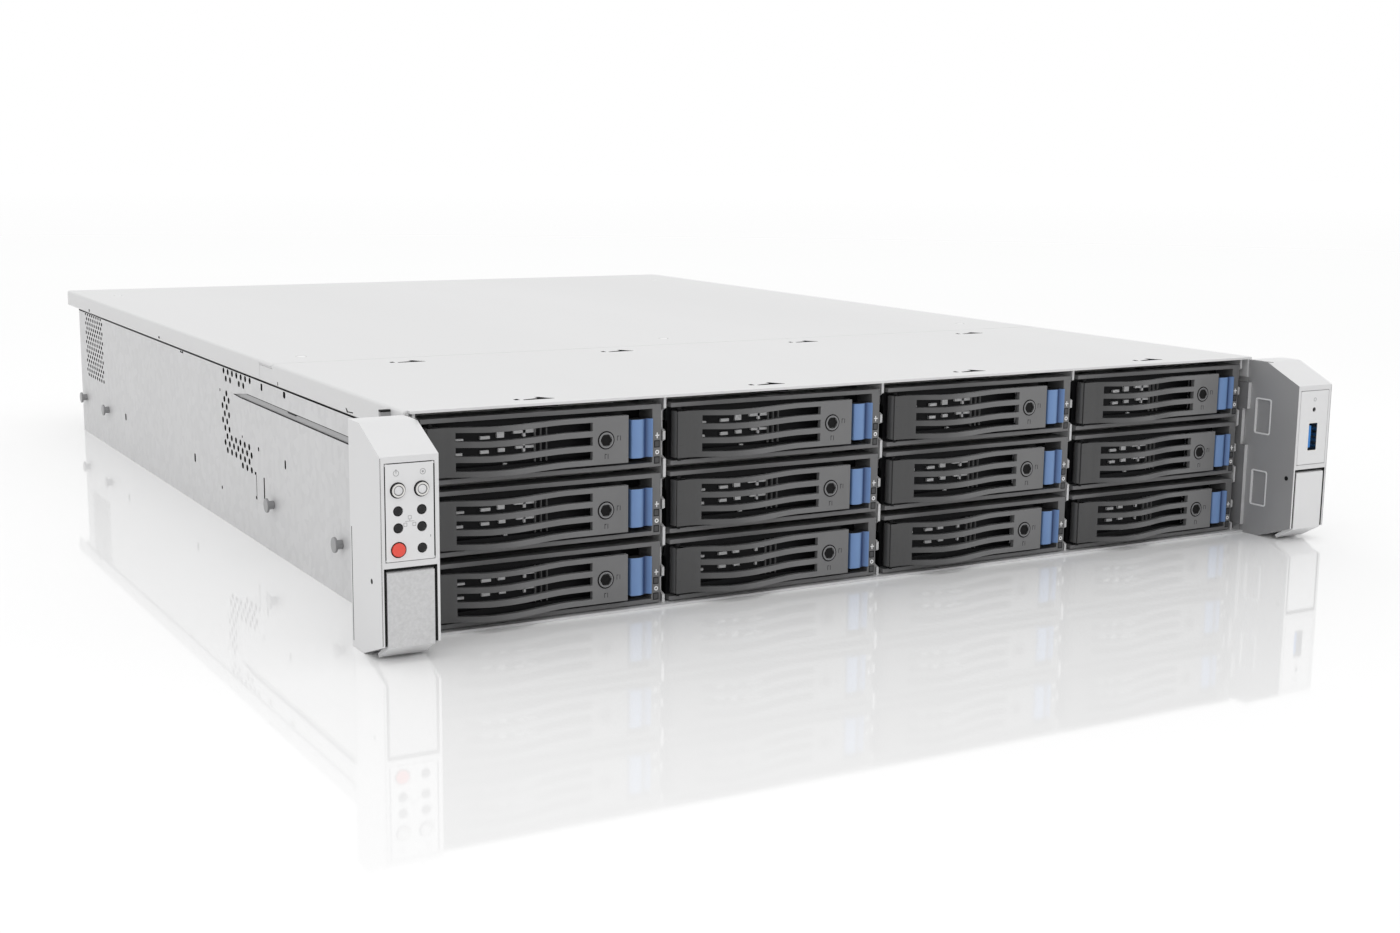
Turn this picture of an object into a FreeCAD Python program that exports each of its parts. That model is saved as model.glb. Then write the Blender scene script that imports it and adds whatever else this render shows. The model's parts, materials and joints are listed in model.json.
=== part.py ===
import FreeCAD, Part
import os
import re
import Sketcher

# A 2U rack server with twelve drive bays.  X is across, +Y is towards the rear, +Z is up.
# The origin is on the underside of the base, on the mid-plane, at the plane of the drive tray fronts.

doc = FreeCAD.newDocument("RackServer")
sheet = doc.addObject("Spreadsheet::Sheet", "Sizes")

# Driving dimensions in millimetres.
sizes = {
    # chassis sheet metal
    "chassis_wide": 440, "chassis_tall": 87.5, "gauge": 1.0, "joggle_high": 76.8, "joggle_step": 1.2,
    "front_lip": 3, "rear_wall": 578, "lid_seam": 163, "seam_gap": 0.4, "lid_overhang": 34,
    "flange_gap": 0.4, "lip_inset": 1, "hook_long": 11, "hook_wide": 2.2, "hook_first": 9,
    "hook_inset": 17,
    # vents and slots of the side walls
    "vent_inset": 26, "vent_low": 38, "vent_long": 9, "vent_high": 3.4, "vent_step": 14,
    "vent_rise": 9, "vent_columns": 3, "vent_rows": 4,
    "slot_after_seam": 16, "slot_apart": 12.6, "slot_low": 20.9, "slot_high": 11.4, "slot_thin": 2.2,
    # openings of the rear wall and their covers
    "port_room": 130, "port_inset": 37.5, "port_tall": 23.4, "riser_gap": 5, "card_inset": 15,
    "card_long": 160, "card_low": 14, "card_step": 22, "cover_lap": 2, "cover_gap": 0.5,
    # drive bays
    "cage_room": 4.8, "bay_gap": 2.2, "row_pitch": 28.3, "tray_tall": 26.2, "tray_seat": 0.2,
    "tray_deep": 163, "frame_deep": 11, "rail_high": 1.9, "side_thick": 0.8, "side_high": 18,
    "wall_front": 4.4, "wall_thick": 1.2, "post_wide": 4.1, "cut_past": 0.2,
    # half a side of an octagon for each unit from its centre to a side
    "octagon_side": 0.4142,
    "cage_front": 1, "cage_play": 3, "plate_thick": 1.2, "shelf_thick": 0.8, "rib_proud": 1.3,
    "rib_high": 4, "rib_after_frame": 2, "rib_short": 10, "drive_front": 14, "drive_long": 147,
    "drive_lift": 0.1,
    # drive lever, its pin and its lock
    "lever_inset": 0.8, "lever_end": 16.3, "lever_low": 3.4, "lever_tall": 19.1, "lever_thick": 2.2,
    "barrel_round": 3.2, "barrel_flat": 1.3, "pin_back": 0.5, "pin_round": 1.0, "pin_play": 0.05,
    "wave_proud": 6, "wave_gap": 0.8, "wave_crest": 24, "wave_fall": 36, "wave_end": 60,
    "louvre_left": 12.6, "louvre_end": 32.2, "louvre_high": 3.4, "louvre_step": 5.75, "louvre_low": 5.6,
    "lock_inset": 26.3, "lock_round": 2, "lock_proud": 0.3, "tongue_inset": 20.6, "tongue_thick": 1.6,
    "tongue_long": 7, "tongue_high": 5, "tongue_room": 1.2,
    # release button
    "tab_gap": 1.7, "tab_wide": 10.2, "tab_low": 4.7, "tab_tall": 16.7, "tab_proud": 2.2,
    "tab_deep": 10, "scoop_deep": 1.6, "scoop_slope": 1, "scoop_lip": 2, "wall_play": 1,
    # light windows on the tray post
    "window_wide": 2.2, "window_high": 3.2, "window_low": 5.3, "window_step": 6.8,
    "window_side": 0.8, "window_proud": 0.2,
    # backplane
    "board_thick": 1.6, "board_play": 2, "air_inset": 58, "air_wide": 40, "air_low": 5,
    "socket_inset": 12, "socket_wide": 36, "socket_lift": 3, "socket_high": 6, "socket_deep": 4.4,
    # fans
    "fan_gap": 16.4, "fan_size": 80, "fan_deep": 38, "fan_pitch": 130, "fan_rim": 1.6,
    "wall_lap": 4, "blade_gap": 1.6, "hub_round": 18, "rotor_deep": 24, "rotor_inset": 6,
    "rotor_play": 0.3, "blade_tilt": 38, "blade_thick": 1.4, "blade_count": 7, "blade_root": 3,
    "blade_inset": 1, "arm_wide": 4, "arm_thick": 3, "arm_inset": 1, "spindle_round": 4,
    "spindle_proud": 2,
    # mainboard and what stands on it
    "pcb_gap": 0.5, "pcb_wide": 305, "pcb_inset": 8, "pcb_deep": 330, "pcb_low": 8, "spacer_round": 3,
    "spacer_inset": 10, "sink_wide": 80, "sink_deep": 90, "sink_inset": 70, "sink_tall": 58,
    "sink_base": 5, "cpu_wide": 72, "cpu_high": 6, "cpu_first": 85, "cpu_apart": 135, "cpu_seat": 5,
    "fin_thick": 1.2, "fin_step": 7, "fin_count": 12, "fin_root": 1, "slot_wide": 6.5, "slot_long": 142,
    "slot_tall": 8, "slot_inset": 45, "dimm_first": 7, "dimm_after": 14, "dimm_last": 10,
    "dimm_pitch": 9, "dimm_thick": 1.3, "dimm_long": 133, "dimm_tall": 30, "chip_wide": 40,
    "chip_high": 12, "chip_left": 185, "chip_inset": 70, "riser_wide": 8, "riser_long": 90,
    "riser_high": 11, "riser_first": 35, "riser_apart": 40, "riser_inset": 30, "port_wide": 28,
    "port_first": 3, "port_apart": 32, "port_high": 13, "port_deep": 22, "port_proud": 0.8,
    # power supplies
    "psu_side": 3, "psu_wide": 73.5, "psu_tall": 39, "psu_long": 185, "psu_low": 1.2,
    "psu_step": 40.6, "psu_room": 1, "psu_behind": 3, "shelf_gap": 0.2, "handle_out": 24,
    "handle_bar": 5, "handle_inset": 3, "handle_span": 38, "handle_thick": 3, "grille_round": 17,
    "grille_inset": 22, "grille_deep": 5, "grille_hub": 6, "inlet_inset": 44, "inlet_wide": 24,
    "inlet_high": 17, "inlet_deep": 15, "prong_first": 5, "prong_step": 6, "prong_wide": 2,
    "prong_high": 4, "prong_long": 9,
    # ears
    "ear_wide": 22.3, "ear_back": 0.5, "ear_relief": 0.1, "relief_wide": 1.4, "ear_deep": 33,
    "ear_top": 86, "bevel_back": 12, "bevel_low": 76.4, "chin_high": 7, "chin_back": 12.5,
    "ear_skin": 2, "panel_margin": 1.85, "panel_low": 38.2, "panel_high": 35.6, "panel_thick": 1.2,
    "panel_gap": 0.25, "hollow_inset": 1, "flap_margin": 1.35, "flap_low": 6.5, "flap_pin_high": 33,
    "flap_pin_back": 30.6, "flap_round": 2.4, "flap_flat": 1, "flap_thick": 1.8, "flap_gap": 0.4,
    "flap_pin": 0.9, "recess_deep": 14, "lip_back": 22, "lip_low": 0.8, "lip_thick": 1.2,
    "lip_edge": 1, "bracket_thick": 2, "bracket_long": 40, "bracket_low": 4, "bracket_high": 75,
    "notch_low": 44, "notch_high": 62, "notch_deep": 3,
    "rack_screw_high": 21.4, "screw_head": 4, "head_long": 9, "screw_shank": 2.4,
    "screw_play": 0.3, "screw_float": 1.5, "pry_inset": 16, "pry_long": 9, "pry_high": 16.5,
    "pry_deep": 0.8, "pry_low": 15.5, "pry_step": 35.5,
    # keys, lamps and the USB socket in the ear panels
    "key_round": 2.8, "key_play": 0.3, "key_long": 6, "key_proud": 1, "lamp_round": 1.6,
    "lamp_proud": 0.3, "key_column": 4.5, "key_travel": 1.5, "key_top": 64.1, "lamp_top": 56.5,
    "lamp_mid": 50.3, "key_low": 42.4, "usb_wide": 6.6, "usb_high": 14.2,
    "usb_low": 44.4, "usb_deep": 14, "usb_skin": 0.5, "usb_tongue": 1.8, "usb_shift": 0.6,
    "usb_inset": 1.5, "usb_back": 1, "usb_lamp": 64.7, "port_lamp": 1,
    # studs for the slide rails
    "stud_shank": 2.2, "stud_head": 4.4, "stud_long": 3.8, "stud_cap": 1.4, "stud_high": 22.5,
    "stud_first": 72, "stud_after_seam": 3, "stud_rear": 12, "stud_apart": 63,
}
for row, (word, number) in enumerate(sizes.items(), start=1):
    sheet.set("A%d" % row, word)
    sheet.set("B%d" % row, str(number))
    sheet.setAlias("B%d" % row, word)
doc.recompute()


# Places and sizes that follow from the driving dimensions.
worked = {
    "half_wide": "chassis_wide / 2",
    "lid_rear": "rear_wall + lid_overhang",
    "flange_low": "joggle_high + joggle_step + flange_gap",
    "under_cover": "chassis_tall - gauge",
    "bay_pitch": "(chassis_wide - 2 * cage_room) / 4",
    "tray_wide": "bay_pitch - 2 * bay_gap",
    "cage_rear": "tray_deep + cage_play",
    "hinge_at": "lever_inset + barrel_round",
    "lever_right": "tray_wide - lever_end",
    "lever_front": "pin_back - barrel_round",
    "lever_rear": "pin_back - barrel_round + lever_thick",
    "wave_start": "hinge_at + barrel_round + wave_gap",
    "louvre_right": "tray_wide - louvre_end",
    "lock_at": "tray_wide - lock_inset",
    "tongue_at": "tray_wide - tongue_inset",
    "tab_left": "lever_right + tab_gap",
    "tab_right": "lever_right + tab_gap + tab_wide",
    "post_left": "tray_wide - post_wide",
    "hook_second": "lid_seam - hook_inset",
    "fan_wall": "cage_rear + board_thick + fan_gap",
    "fan_front": "fan_wall + gauge",
    "fan_middle": "gauge + fan_size / 2",
    "rotor_front": "fan_front + rotor_inset",
    "fan_bore": "fan_size / 2 - fan_rim",
    "rotor_round": "fan_size / 2 - fan_rim - blade_gap",
    "wall_bore": "fan_size - wall_lap",
    "psu_left": "half_wide - gauge - psu_side - psu_wide",
    "psu_front": "rear_wall - psu_long",
    "pcb_left": "psu_left - psu_room - gauge - pcb_gap - pcb_wide",
    "pcb_front": "rear_wall - pcb_inset - pcb_deep",
    "deck": "pcb_low + board_thick",
    "cpu_left": "pcb_left + cpu_first",
    "cpu_right": "pcb_left + cpu_first + cpu_apart",
    "sink_front": "pcb_front + sink_inset",
    "slot_front": "pcb_front + slot_inset",
    "slot_near": "lid_seam + slot_after_seam",
    "port_right": "psu_left - port_inset",
    "port_left": "psu_left - port_inset - port_room",
    "port_top": "deck + port_tall",
    "riser_low": "deck + port_tall + riser_gap",
    "card_left": "card_inset - half_wide",
    "card_right": "card_inset - half_wide + card_long",
    "card_top": "card_low + 3 * card_step",
    "sheet_front": "ear_back + ear_relief",
    "ear_inner": "half_wide - gauge",
    "ear_outer": "half_wide - gauge + ear_wide",
    "ear_middle": "half_wide - gauge + ear_wide / 2",
    "panel_wide": "ear_wide - 2 * panel_margin",
    "flap_wide": "ear_wide - 2 * flap_margin",
}


def link(text):
    """Give an expression on the sheet for a formula written with the plain size names."""
    def spell(word):
        name = word.group(0)
        return "(" + link(worked[name]) + ")" if name in worked else "Sizes." + name
    return re.sub(r"[a-z][a-z_]*", spell, str(text))


def number(text):
    """Work out a formula written with the plain size names."""
    return float(sheet.evalExpression(link(text)))


def bind(item, prop, text):
    item.setExpression(prop, link(text))
    return item


# Every finished sub-part, in the order in which it is written.
nodes = []


def keep(item, label):
    item.Label = label
    nodes.append(item)
    return item


def place(item, x="0", y="0", z="0"):
    for axis, text in zip("xyz", (x, y, z)):
        bind(item, "Placement.Base." + axis, text)
    return item


def block(name, x, y, z):
    """A box between two formulas along each axis."""
    item = doc.addObject("Part::Box", name)
    for prop, (low, high) in zip(("Length", "Width", "Height"), (x, y, z)):
        bind(item, prop, "(%s) - (%s)" % (high, low))
    return place(item, x[0], y[0], z[0])


def rod(name, radius, length, start, axis=(0, 0, 1)):
    """A cylinder from start along axis."""
    item = doc.addObject("Part::Cylinder", name)
    bind(item, "Radius", radius)
    bind(item, "Height", length)
    item.Placement.Rotation = FreeCAD.Rotation(FreeCAD.Vector(0, 0, 1), FreeCAD.Vector(*axis))
    return place(item, *start)


def prism(name, sides, radius, length, start, axis=(0, 0, 1)):
    """A regular prism from start along axis; radius reaches its corners."""
    item = doc.addObject("Part::Prism", name)
    item.Polygon = sides
    bind(item, "Circumradius", radius)
    bind(item, "Height", length)
    item.Placement.Rotation = FreeCAD.Rotation(FreeCAD.Vector(0, 0, 1), FreeCAD.Vector(*axis))
    return place(item, *start)


BACK = (0, 1, 0)
ACROSS = (1, 0, 0)


def cut(name, base, tool):
    item = doc.addObject("Part::Cut", name)
    item.Base = base
    item.Tool = tool
    return item


def fuse(name, shapes):
    item = doc.addObject("Part::MultiFuse", name)
    item.Shapes = shapes
    item.Refine = True
    return item


def group(name, shapes):
    """Separate solids that lie together, as one object."""
    item = doc.addObject("Part::Compound", name)
    item.Links = shapes
    return item


def body(name):
    return doc.addObject("PartDesign::Body", name)


def flat_sketch(owner, name, plane, offset):
    """An empty sketch on one of the body's origin planes, shifted along the plane's normal."""
    sketch = owner.newObject("Sketcher::SketchObject", name)
    base = [item for item in owner.Origin.OriginFeatures if item.Role == plane][0]
    sketch.AttachmentSupport = [(base, "")]
    sketch.MapMode = "FlatFace"
    bind(sketch, "AttachmentOffset.Base.z", offset)
    return sketch


def tie(sketch, index, end, point, corner):
    """Bind one end or centre of a curve to its two formulas."""
    for kind, text, size in (("DistanceX", point[0], corner.x), ("DistanceY", point[1], corner.y)):
        which = sketch.addConstraint(Sketcher.Constraint(kind, -1, 1, index, end, size))
        bind(sketch, "Constraints[%d]" % which, text)


def outlines(owner, name, plane, loops, offset="0"):
    """Closed loops of straight lines in one sketch; every corner is bound to the sheet."""
    sketch = flat_sketch(owner, name, plane, offset)
    for points in loops:
        first = sketch.GeometryCount
        corners = [FreeCAD.Vector(number(across), number(along), 0) for across, along in points]
        following = corners[1:] + corners[:1]
        for corner, end in zip(corners, following):
            sketch.addGeometry(Part.LineSegment(corner, end), False)
        for index in range(len(corners)):
            joined = first + (index + 1) % len(corners)
            sketch.addConstraint(Sketcher.Constraint("Coincident", first + index, 2, joined, 1))
            tie(sketch, first + index, 1, points[index], corners[index])
    return sketch


def outline(owner, name, plane, points, offset="0"):
    return outlines(owner, name, plane, [points], offset)


def oblong(across, along):
    """The four corners of a rectangle between two formulas each way."""
    return [(across[0], along[0]), (across[1], along[0]), (across[1], along[1]), (across[0], along[1])]


def octagon(across, along, reach):
    """Eight corners around a centre; each side lies at the given distance from it."""
    near = "(%s) * octagon_side" % reach
    steps = [(reach, "-" + near), (reach, near), (near, reach), ("-" + near, reach), ("-(%s)" % reach, near),
             ("-(%s)" % reach, "-" + near), ("-" + near, "-(%s)" % reach), (near, "-(%s)" % reach)]
    return [("%s + (%s)" % (across, right), "%s + (%s)" % (along, up)) for right, up in steps]


def rings(owner, name, plane, circles, offset="0"):
    """A sketch of circles, each given as centre across, centre along and radius."""
    sketch = flat_sketch(owner, name, plane, offset)
    for index, (across, along, radius) in enumerate(circles):
        centre = FreeCAD.Vector(number(across), number(along), 0)
        sketch.addGeometry(Part.Circle(centre, FreeCAD.Vector(0, 0, 1), number(radius)), False)
        tie(sketch, index, 3, (across, along), centre)
        which = sketch.addConstraint(Sketcher.Constraint("Radius", index, number(radius)))
        bind(sketch, "Constraints[%d]" % which, radius)
    return sketch


def pad(owner, sketch, length, backwards=False):
    feature = owner.newObject("PartDesign::Pad", sketch.Name + "_pad")
    feature.Profile = sketch
    bind(feature, "Length", length)
    feature.Reversed = backwards
    doc.recompute()
    return feature


def pocket(owner, sketch, length, backwards=False):
    """A pocket, which must take something away."""
    before = owner.Shape.Volume
    feature = owner.newObject("PartDesign::Pocket", sketch.Name + "_cut")
    feature.Profile = sketch
    bind(feature, "Length", length)
    feature.Reversed = backwards
    doc.recompute()
    if owner.Shape.Volume > before - 0.01:
        raise ValueError(sketch.Name + " cuts nothing")
    return feature


def round_upright(owner, feature, across, along, radius):
    """Round the upright edge that stands at one place in plan."""
    foot = FreeCAD.Vector(number(across), number(along), 0)
    standing = []
    for index, edge in enumerate(feature.Shape.Edges, start=1):
        ends = [FreeCAD.Vector(corner.X, corner.Y, 0) for corner in edge.Vertexes]
        if all(end.isEqual(foot, 0.001) for end in ends):
            standing.append("Edge%d" % index)
    fillet = owner.newObject("PartDesign::Fillet", feature.Name + "_round")
    fillet.Base = (feature, standing)
    bind(fillet, "Radius", radius)
    doc.recompute()
    return fillet


def through_walls(owner, sketch):
    """A pocket through both side walls."""
    before = owner.Shape.Volume
    feature = owner.newObject("PartDesign::Pocket", sketch.Name + "_cut")
    feature.Profile = sketch
    feature.Type = "ThroughAll"
    feature.Midplane = True
    doc.recompute()
    if owner.Shape.Volume > before - 0.01:
        raise ValueError(sketch.Name + " cuts nothing")
    return feature


def row_of(owner, feature, direction, step, count, backwards=False):
    """Repeat a feature along an axis of its own sketch."""
    pattern = owner.newObject("PartDesign::LinearPattern", feature.Name + "_row")
    pattern.Originals = [feature]
    pattern.Direction = (feature.Profile[0], [direction])
    pattern.Reversed = backwards
    bind(pattern, "Length", "(%s) * (%s - 1)" % (step, count))
    bind(pattern, "Occurrences", count)
    owner.Tip = pattern
    doc.recompute()
    return pattern


def chassis_tray():
    """The folded pan: base, side walls that step inwards at the top, and the rear wall."""
    pan = body("Pan")
    step = "half_wide - joggle_step"
    step_in = "half_wide - joggle_step - gauge"
    right = [("half_wide", "0"), ("half_wide", "joggle_high"), (step, "joggle_high + joggle_step"),
             (step, "under_cover"), (step_in, "under_cover"), (step_in, "joggle_high"),
             ("ear_inner", "joggle_high - joggle_step"), ("ear_inner", "gauge")]
    left = [("-(%s)" % across, along) for across, along in reversed(right)]
    section = outline(pan, "PanSection", "XZ_Plane", right + left, "sheet_front")
    pad(pan, section, "rear_wall + sheet_front", True)
    lip = outline(pan, "PanLip", "XZ_Plane", oblong(("lip_inset - ear_inner", "ear_inner - lip_inset"),
                  ("0", "gauge")), "front_lip")
    pad(pan, lip, "front_lip", True)
    rear = outline(pan, "RearWall", "XZ_Plane", oblong(("-(%s)" % step_in, step_in), ("0", "under_cover")),
                   "gauge - rear_wall")
    pad(pan, rear, "gauge", True)
    psu = oblong(("psu_left - psu_room", "psu_left + psu_wide + psu_room"),
                 ("gauge", "psu_low + psu_step + psu_tall + psu_room"))
    ports = oblong(("port_left", "port_right"), ("deck", "port_top"))
    cards = oblong(("card_left", "card_right"), ("card_low", "card_top"))
    risers = oblong(("port_left", "port_right"), ("riser_low", "card_top"))
    rear_holes = outlines(pan, "RearOpenings", "XZ_Plane", [psu, ports, cards, risers],
                          "gauge + cut_past - rear_wall")
    pocket(pan, rear_holes, "gauge + 2 * cut_past")
    slots = [oblong((at, at + " + slot_thin"), ("slot_low", "slot_low + slot_high"))
             for at in ("slot_near", "slot_near + slot_apart")]
    through_walls(pan, outlines(pan, "SideSlots", "YZ_Plane", slots))
    vents = []
    for column in range(sizes["vent_columns"]):
        at = "rear_wall - vent_inset - %d * vent_step" % column
        low = "vent_low + %d * vent_rise / 2" % (column % 2)
        vents.append(oblong((at + " - vent_long", at), (low, low + " + vent_high")))
    vent = through_walls(pan, outlines(pan, "SideVents", "YZ_Plane", vents))
    row_of(pan, vent, "V_Axis", "vent_rise", "vent_rows")
    parts = [pan]
    behind = ("rear_wall", "rear_wall + gauge")
    for name, low, left, right in (("CardCover", "card_low", "card_left", "card_right"),
                                   ("RiserCover", "riser_low", "port_left", "port_right")):
        count = 3 if low == "card_low" else 2
        for step in range(count):
            foot = low + " + %d * card_step" % step
            parts.append(block("%s%d" % (name, step), (left + " - cover_lap", right + " + cover_lap"),
                               behind, (foot + " + cover_gap", foot + " + card_step - cover_gap")))
    bay_deep = ("psu_front - psu_behind", "rear_wall - gauge")
    parts.append(block("PsuShelf", ("psu_left - psu_room", "ear_inner"), bay_deep,
                       ("psu_low + psu_tall + shelf_gap", "psu_low + psu_step - shelf_gap")))
    parts.append(block("PsuWall", ("psu_left - psu_room - gauge", "psu_left - psu_room"), bay_deep,
                       ("gauge", "under_cover")))
    keep(group("ChassisTray", parts), "chassis_tray")


def cover_section(name, owner, front):
    """The top sheet with a flange down each side."""
    right = [("half_wide", "chassis_tall"), ("half_wide", "flange_low"), ("ear_inner", "flange_low"),
             ("ear_inner", "under_cover")]
    left = [("-(%s)" % across, along) for across, along in reversed(right)]
    return outline(owner, name, "XZ_Plane", right + left, front)


def covers():
    front = body("FrontSheet")
    pad(front, cover_section("FrontSection", front, "sheet_front"), "lid_seam - seam_gap + sheet_front", True)
    lip = outline(front, "FrontEdge", "XZ_Plane", oblong(("lip_inset - ear_inner", "ear_inner - lip_inset"),
                  ("under_cover", "chassis_tall")), "front_lip")
    pad(front, lip, "front_lip", True)
    across = ("-3 * bay_pitch / 2 - hook_long / 2", "-3 * bay_pitch / 2 + hook_long / 2")
    hooks = [oblong(across, (at, at + " + hook_wide")) for at in ("hook_first", "hook_second")]
    slots = pocket(front, outlines(front, "HookSlots", "XY_Plane", hooks, "chassis_tall"), "gauge")
    row_of(front, slots, "H_Axis", "bay_pitch", "4")
    keep(front, "front_cover")
    lid = body("LidSheet")
    pad(lid, cover_section("LidSection", lid, "-lid_seam"), "lid_rear - lid_seam", True)
    keep(lid, "rear_lid")


def drive_cage():
    """Five dividers with guide ribs, and a shelf under each tray of the upper two rows."""
    parts = []
    for wall in range(5):
        middle = "(%d) * bay_pitch" % (wall - 2)
        near = middle + " - plate_thick / 2"
        far = middle + " + plate_thick / 2"
        pieces = [block("Divider%d" % wall, (near, far), ("cage_front", "cage_rear"),
                        ("gauge", "under_cover"))]
        left = near + (" - rib_proud" if wall > 0 else "")
        right = far + (" + rib_proud" if wall < 4 else "")
        for bay_row in range(3):
            low = "gauge + tray_seat + tray_tall / 2 - rib_high / 2 + %d * row_pitch" % bay_row
            pieces.append(block("Rib%d_%d" % (wall, bay_row), (left, right),
                                ("frame_deep + rib_after_frame", "cage_rear - rib_short"),
                                (low, low + " + rib_high")))
        parts.append(fuse("RibbedDivider%d" % wall, pieces))
    for column in range(4):
        left = "(%d) * bay_pitch + plate_thick / 2" % (column - 2)
        right = "(%d) * bay_pitch - plate_thick / 2" % (column - 1)
        for bay_row in range(1, 3):
            low = "gauge + %d * row_pitch - shelf_thick" % bay_row
            parts.append(block("Shelf%d_%d" % (column, bay_row), (left, right),
                               ("cage_front", "cage_rear"), (low, low + " + shelf_thick")))
    keep(group("DriveCage", parts), "drive_cage")


def tray_frame():
    """The moulded front frame, open on its left, with a vented wall and two side rails."""
    frame = body("TrayFrame")
    rail_top = "tray_tall - rail_high"
    bracket = [("0", "0"), ("tray_wide", "0"), ("tray_wide", "tray_tall"), ("0", "tray_tall"),
               ("0", rail_top), ("post_left", rail_top), ("post_left", "rail_high"), ("0", "rail_high")]
    pad(frame, outline(frame, "FrameFront", "XZ_Plane", bracket), "frame_deep", True)
    wall_right = "tab_left - wall_play"
    wall_face = oblong(("0", wall_right), ("0", "tray_tall"))
    wall = outline(frame, "FrameWall", "XZ_Plane", wall_face, "-wall_front")
    pad(frame, wall, "wall_thick", True)
    tie_bar = outline(frame, "FrameBack", "XZ_Plane", oblong(("0", "tray_wide"), ("0", "rail_high")),
                      "-wall_front")
    pad(frame, tie_bar, "drive_front - wall_front", True)
    rails = [oblong(("0", "side_thick"), ("0", "side_high")),
             oblong(("tray_wide - side_thick", "tray_wide"), ("0", "side_high"))]
    pad(frame, outlines(frame, "SideRails", "XZ_Plane", rails, "-wall_front"), "tray_deep - wall_front", True)
    air = oblong(("louvre_left", "louvre_right"), ("louvre_low", "louvre_low + 2 * louvre_step + louvre_high"))
    tongue = oblong(("tongue_at - tongue_room", wall_right),
                    ("tray_tall / 2 - tongue_high", "tray_tall / 2 + tongue_high"))
    holes = outlines(frame, "WallOpenings", "XZ_Plane", [air, tongue], "cut_past - wall_front")
    frame.Tip = pocket(frame, holes, "wall_thick + 2 * cut_past")
    return frame


def tray_parts():
    """What one drive tray carries: its frame, the lever's pin, the light windows and the disk drive."""
    parts = [tray_frame()]
    parts.append(prism("LeverPin", 12, "pin_round", "tray_tall - 2 * rail_high",
                       ("hinge_at", "pin_back", "rail_high")))
    for count in range(2):
        low = "window_low + %d * window_step" % count
        parts.append(block("Window%d" % count,
                           ("tray_wide - window_side - window_wide", "tray_wide - window_side"),
                           ("-window_proud", "0"), (low, low + " + window_high")))
    parts.append(block("Drive", ("side_thick", "tray_wide - side_thick"),
                       ("drive_front", "drive_front + drive_long"), ("drive_lift", "tray_tall - drive_lift")))
    return parts


def lever_parts():
    """The swinging lever: a bowed louvred plate on a barrel, with a catch tongue and a lock."""
    lever = body("Lever")
    front = [("lever_inset", "lever_front"), ("wave_start", "lever_front"),
             ("wave_crest", "lever_front - wave_proud"), ("wave_fall", "lever_front - wave_proud"),
             ("wave_end", "lever_front"), ("lever_right", "lever_front")]
    back = [("lever_right", "lever_rear"), ("wave_end", "lever_rear"),
            ("wave_fall", "lever_rear - wave_proud"), ("wave_crest", "lever_rear - wave_proud"),
            ("wave_start", "lever_rear"), ("hinge_at + barrel_round", "lever_rear")]
    barrel = [("hinge_at + barrel_round", "pin_back + barrel_flat"),
              ("hinge_at + barrel_flat", "pin_back + barrel_round"),
              ("hinge_at - barrel_flat", "pin_back + barrel_round"),
              ("lever_inset", "pin_back + barrel_flat")]
    plan = outline(lever, "LeverPlan", "XY_Plane", front + back + barrel, "lever_low")
    plate = pad(lever, plan, "lever_tall")
    # the nose is round about the hinge, so it turns in its seat without moving outwards
    round_upright(lever, plate, "lever_inset", "lever_front", "barrel_round")
    tongue_plan = oblong(("tongue_at", "tongue_at + tongue_thick"),
                         ("lever_front", "lever_rear + tongue_long"))
    tongue = outline(lever, "LeverTongue", "XY_Plane", tongue_plan, "tray_tall / 2 - tongue_high / 2")
    pad(lever, tongue, "tongue_high")
    # flat-sided bores run on narrow lines and mould more truly than round ones
    bore = outline(lever, "LeverBore", "XY_Plane", octagon("hinge_at", "pin_back", "pin_round + pin_play"),
                   "lever_low - cut_past")
    pocket(lever, bore, "lever_tall + 2 * cut_past", True)
    slit = outline(lever, "Louvre", "XZ_Plane", oblong(("louvre_left", "louvre_right"),
                   ("louvre_low", "louvre_low + louvre_high")), "wave_proud - lever_front + cut_past")
    slits = pocket(lever, slit, "wave_proud + lever_thick + 2 * cut_past")
    row_of(lever, slits, "V_Axis", "louvre_step", "3")
    lock = prism("Lock", 6, "lock_round", "lock_proud",
                 ("lock_at", "lever_front - lock_proud", "tray_tall / 2"), BACK)
    return [lever, lock]


def button_parts():
    """The release button, with a thumb scoop down its face."""
    button = body("Button")
    middle = "(tab_left + tab_right) / 2"
    deep = "scoop_deep - tab_proud"
    plan = [("tab_left", "-tab_proud"), (middle + " - scoop_slope", "-tab_proud"),
            (middle + " + scoop_slope", deep), ("tab_right - scoop_lip", deep),
            ("tab_right - scoop_lip + scoop_slope", "-tab_proud"), ("tab_right", "-tab_proud"),
            ("tab_right", "tab_deep"), ("tab_left", "tab_deep")]
    pad(button, outline(button, "ButtonPlan", "XY_Plane", plan, "tab_low"), "tab_tall")
    return [button]


def drive_bays():
    """Twelve bays in four columns of three; bay 1 is at the top left."""
    designs = {"drive_tray": tray_parts(), "drive_lever": lever_parts(), "release_button": button_parts()}
    for kind, parts in designs.items():
        for column in range(4):
            for bay_row in range(3):
                bay = column * 3 + bay_row + 1
                item = group("%s%d" % (kind.title().replace("_", ""), bay), parts)
                place(item, "(%d) * bay_pitch + (bay_pitch - tray_wide) / 2" % (column - 2), "0",
                      "gauge + tray_seat + %d * row_pitch" % (2 - bay_row))
                keep(item, "%s_%02d" % (kind, bay))


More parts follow.
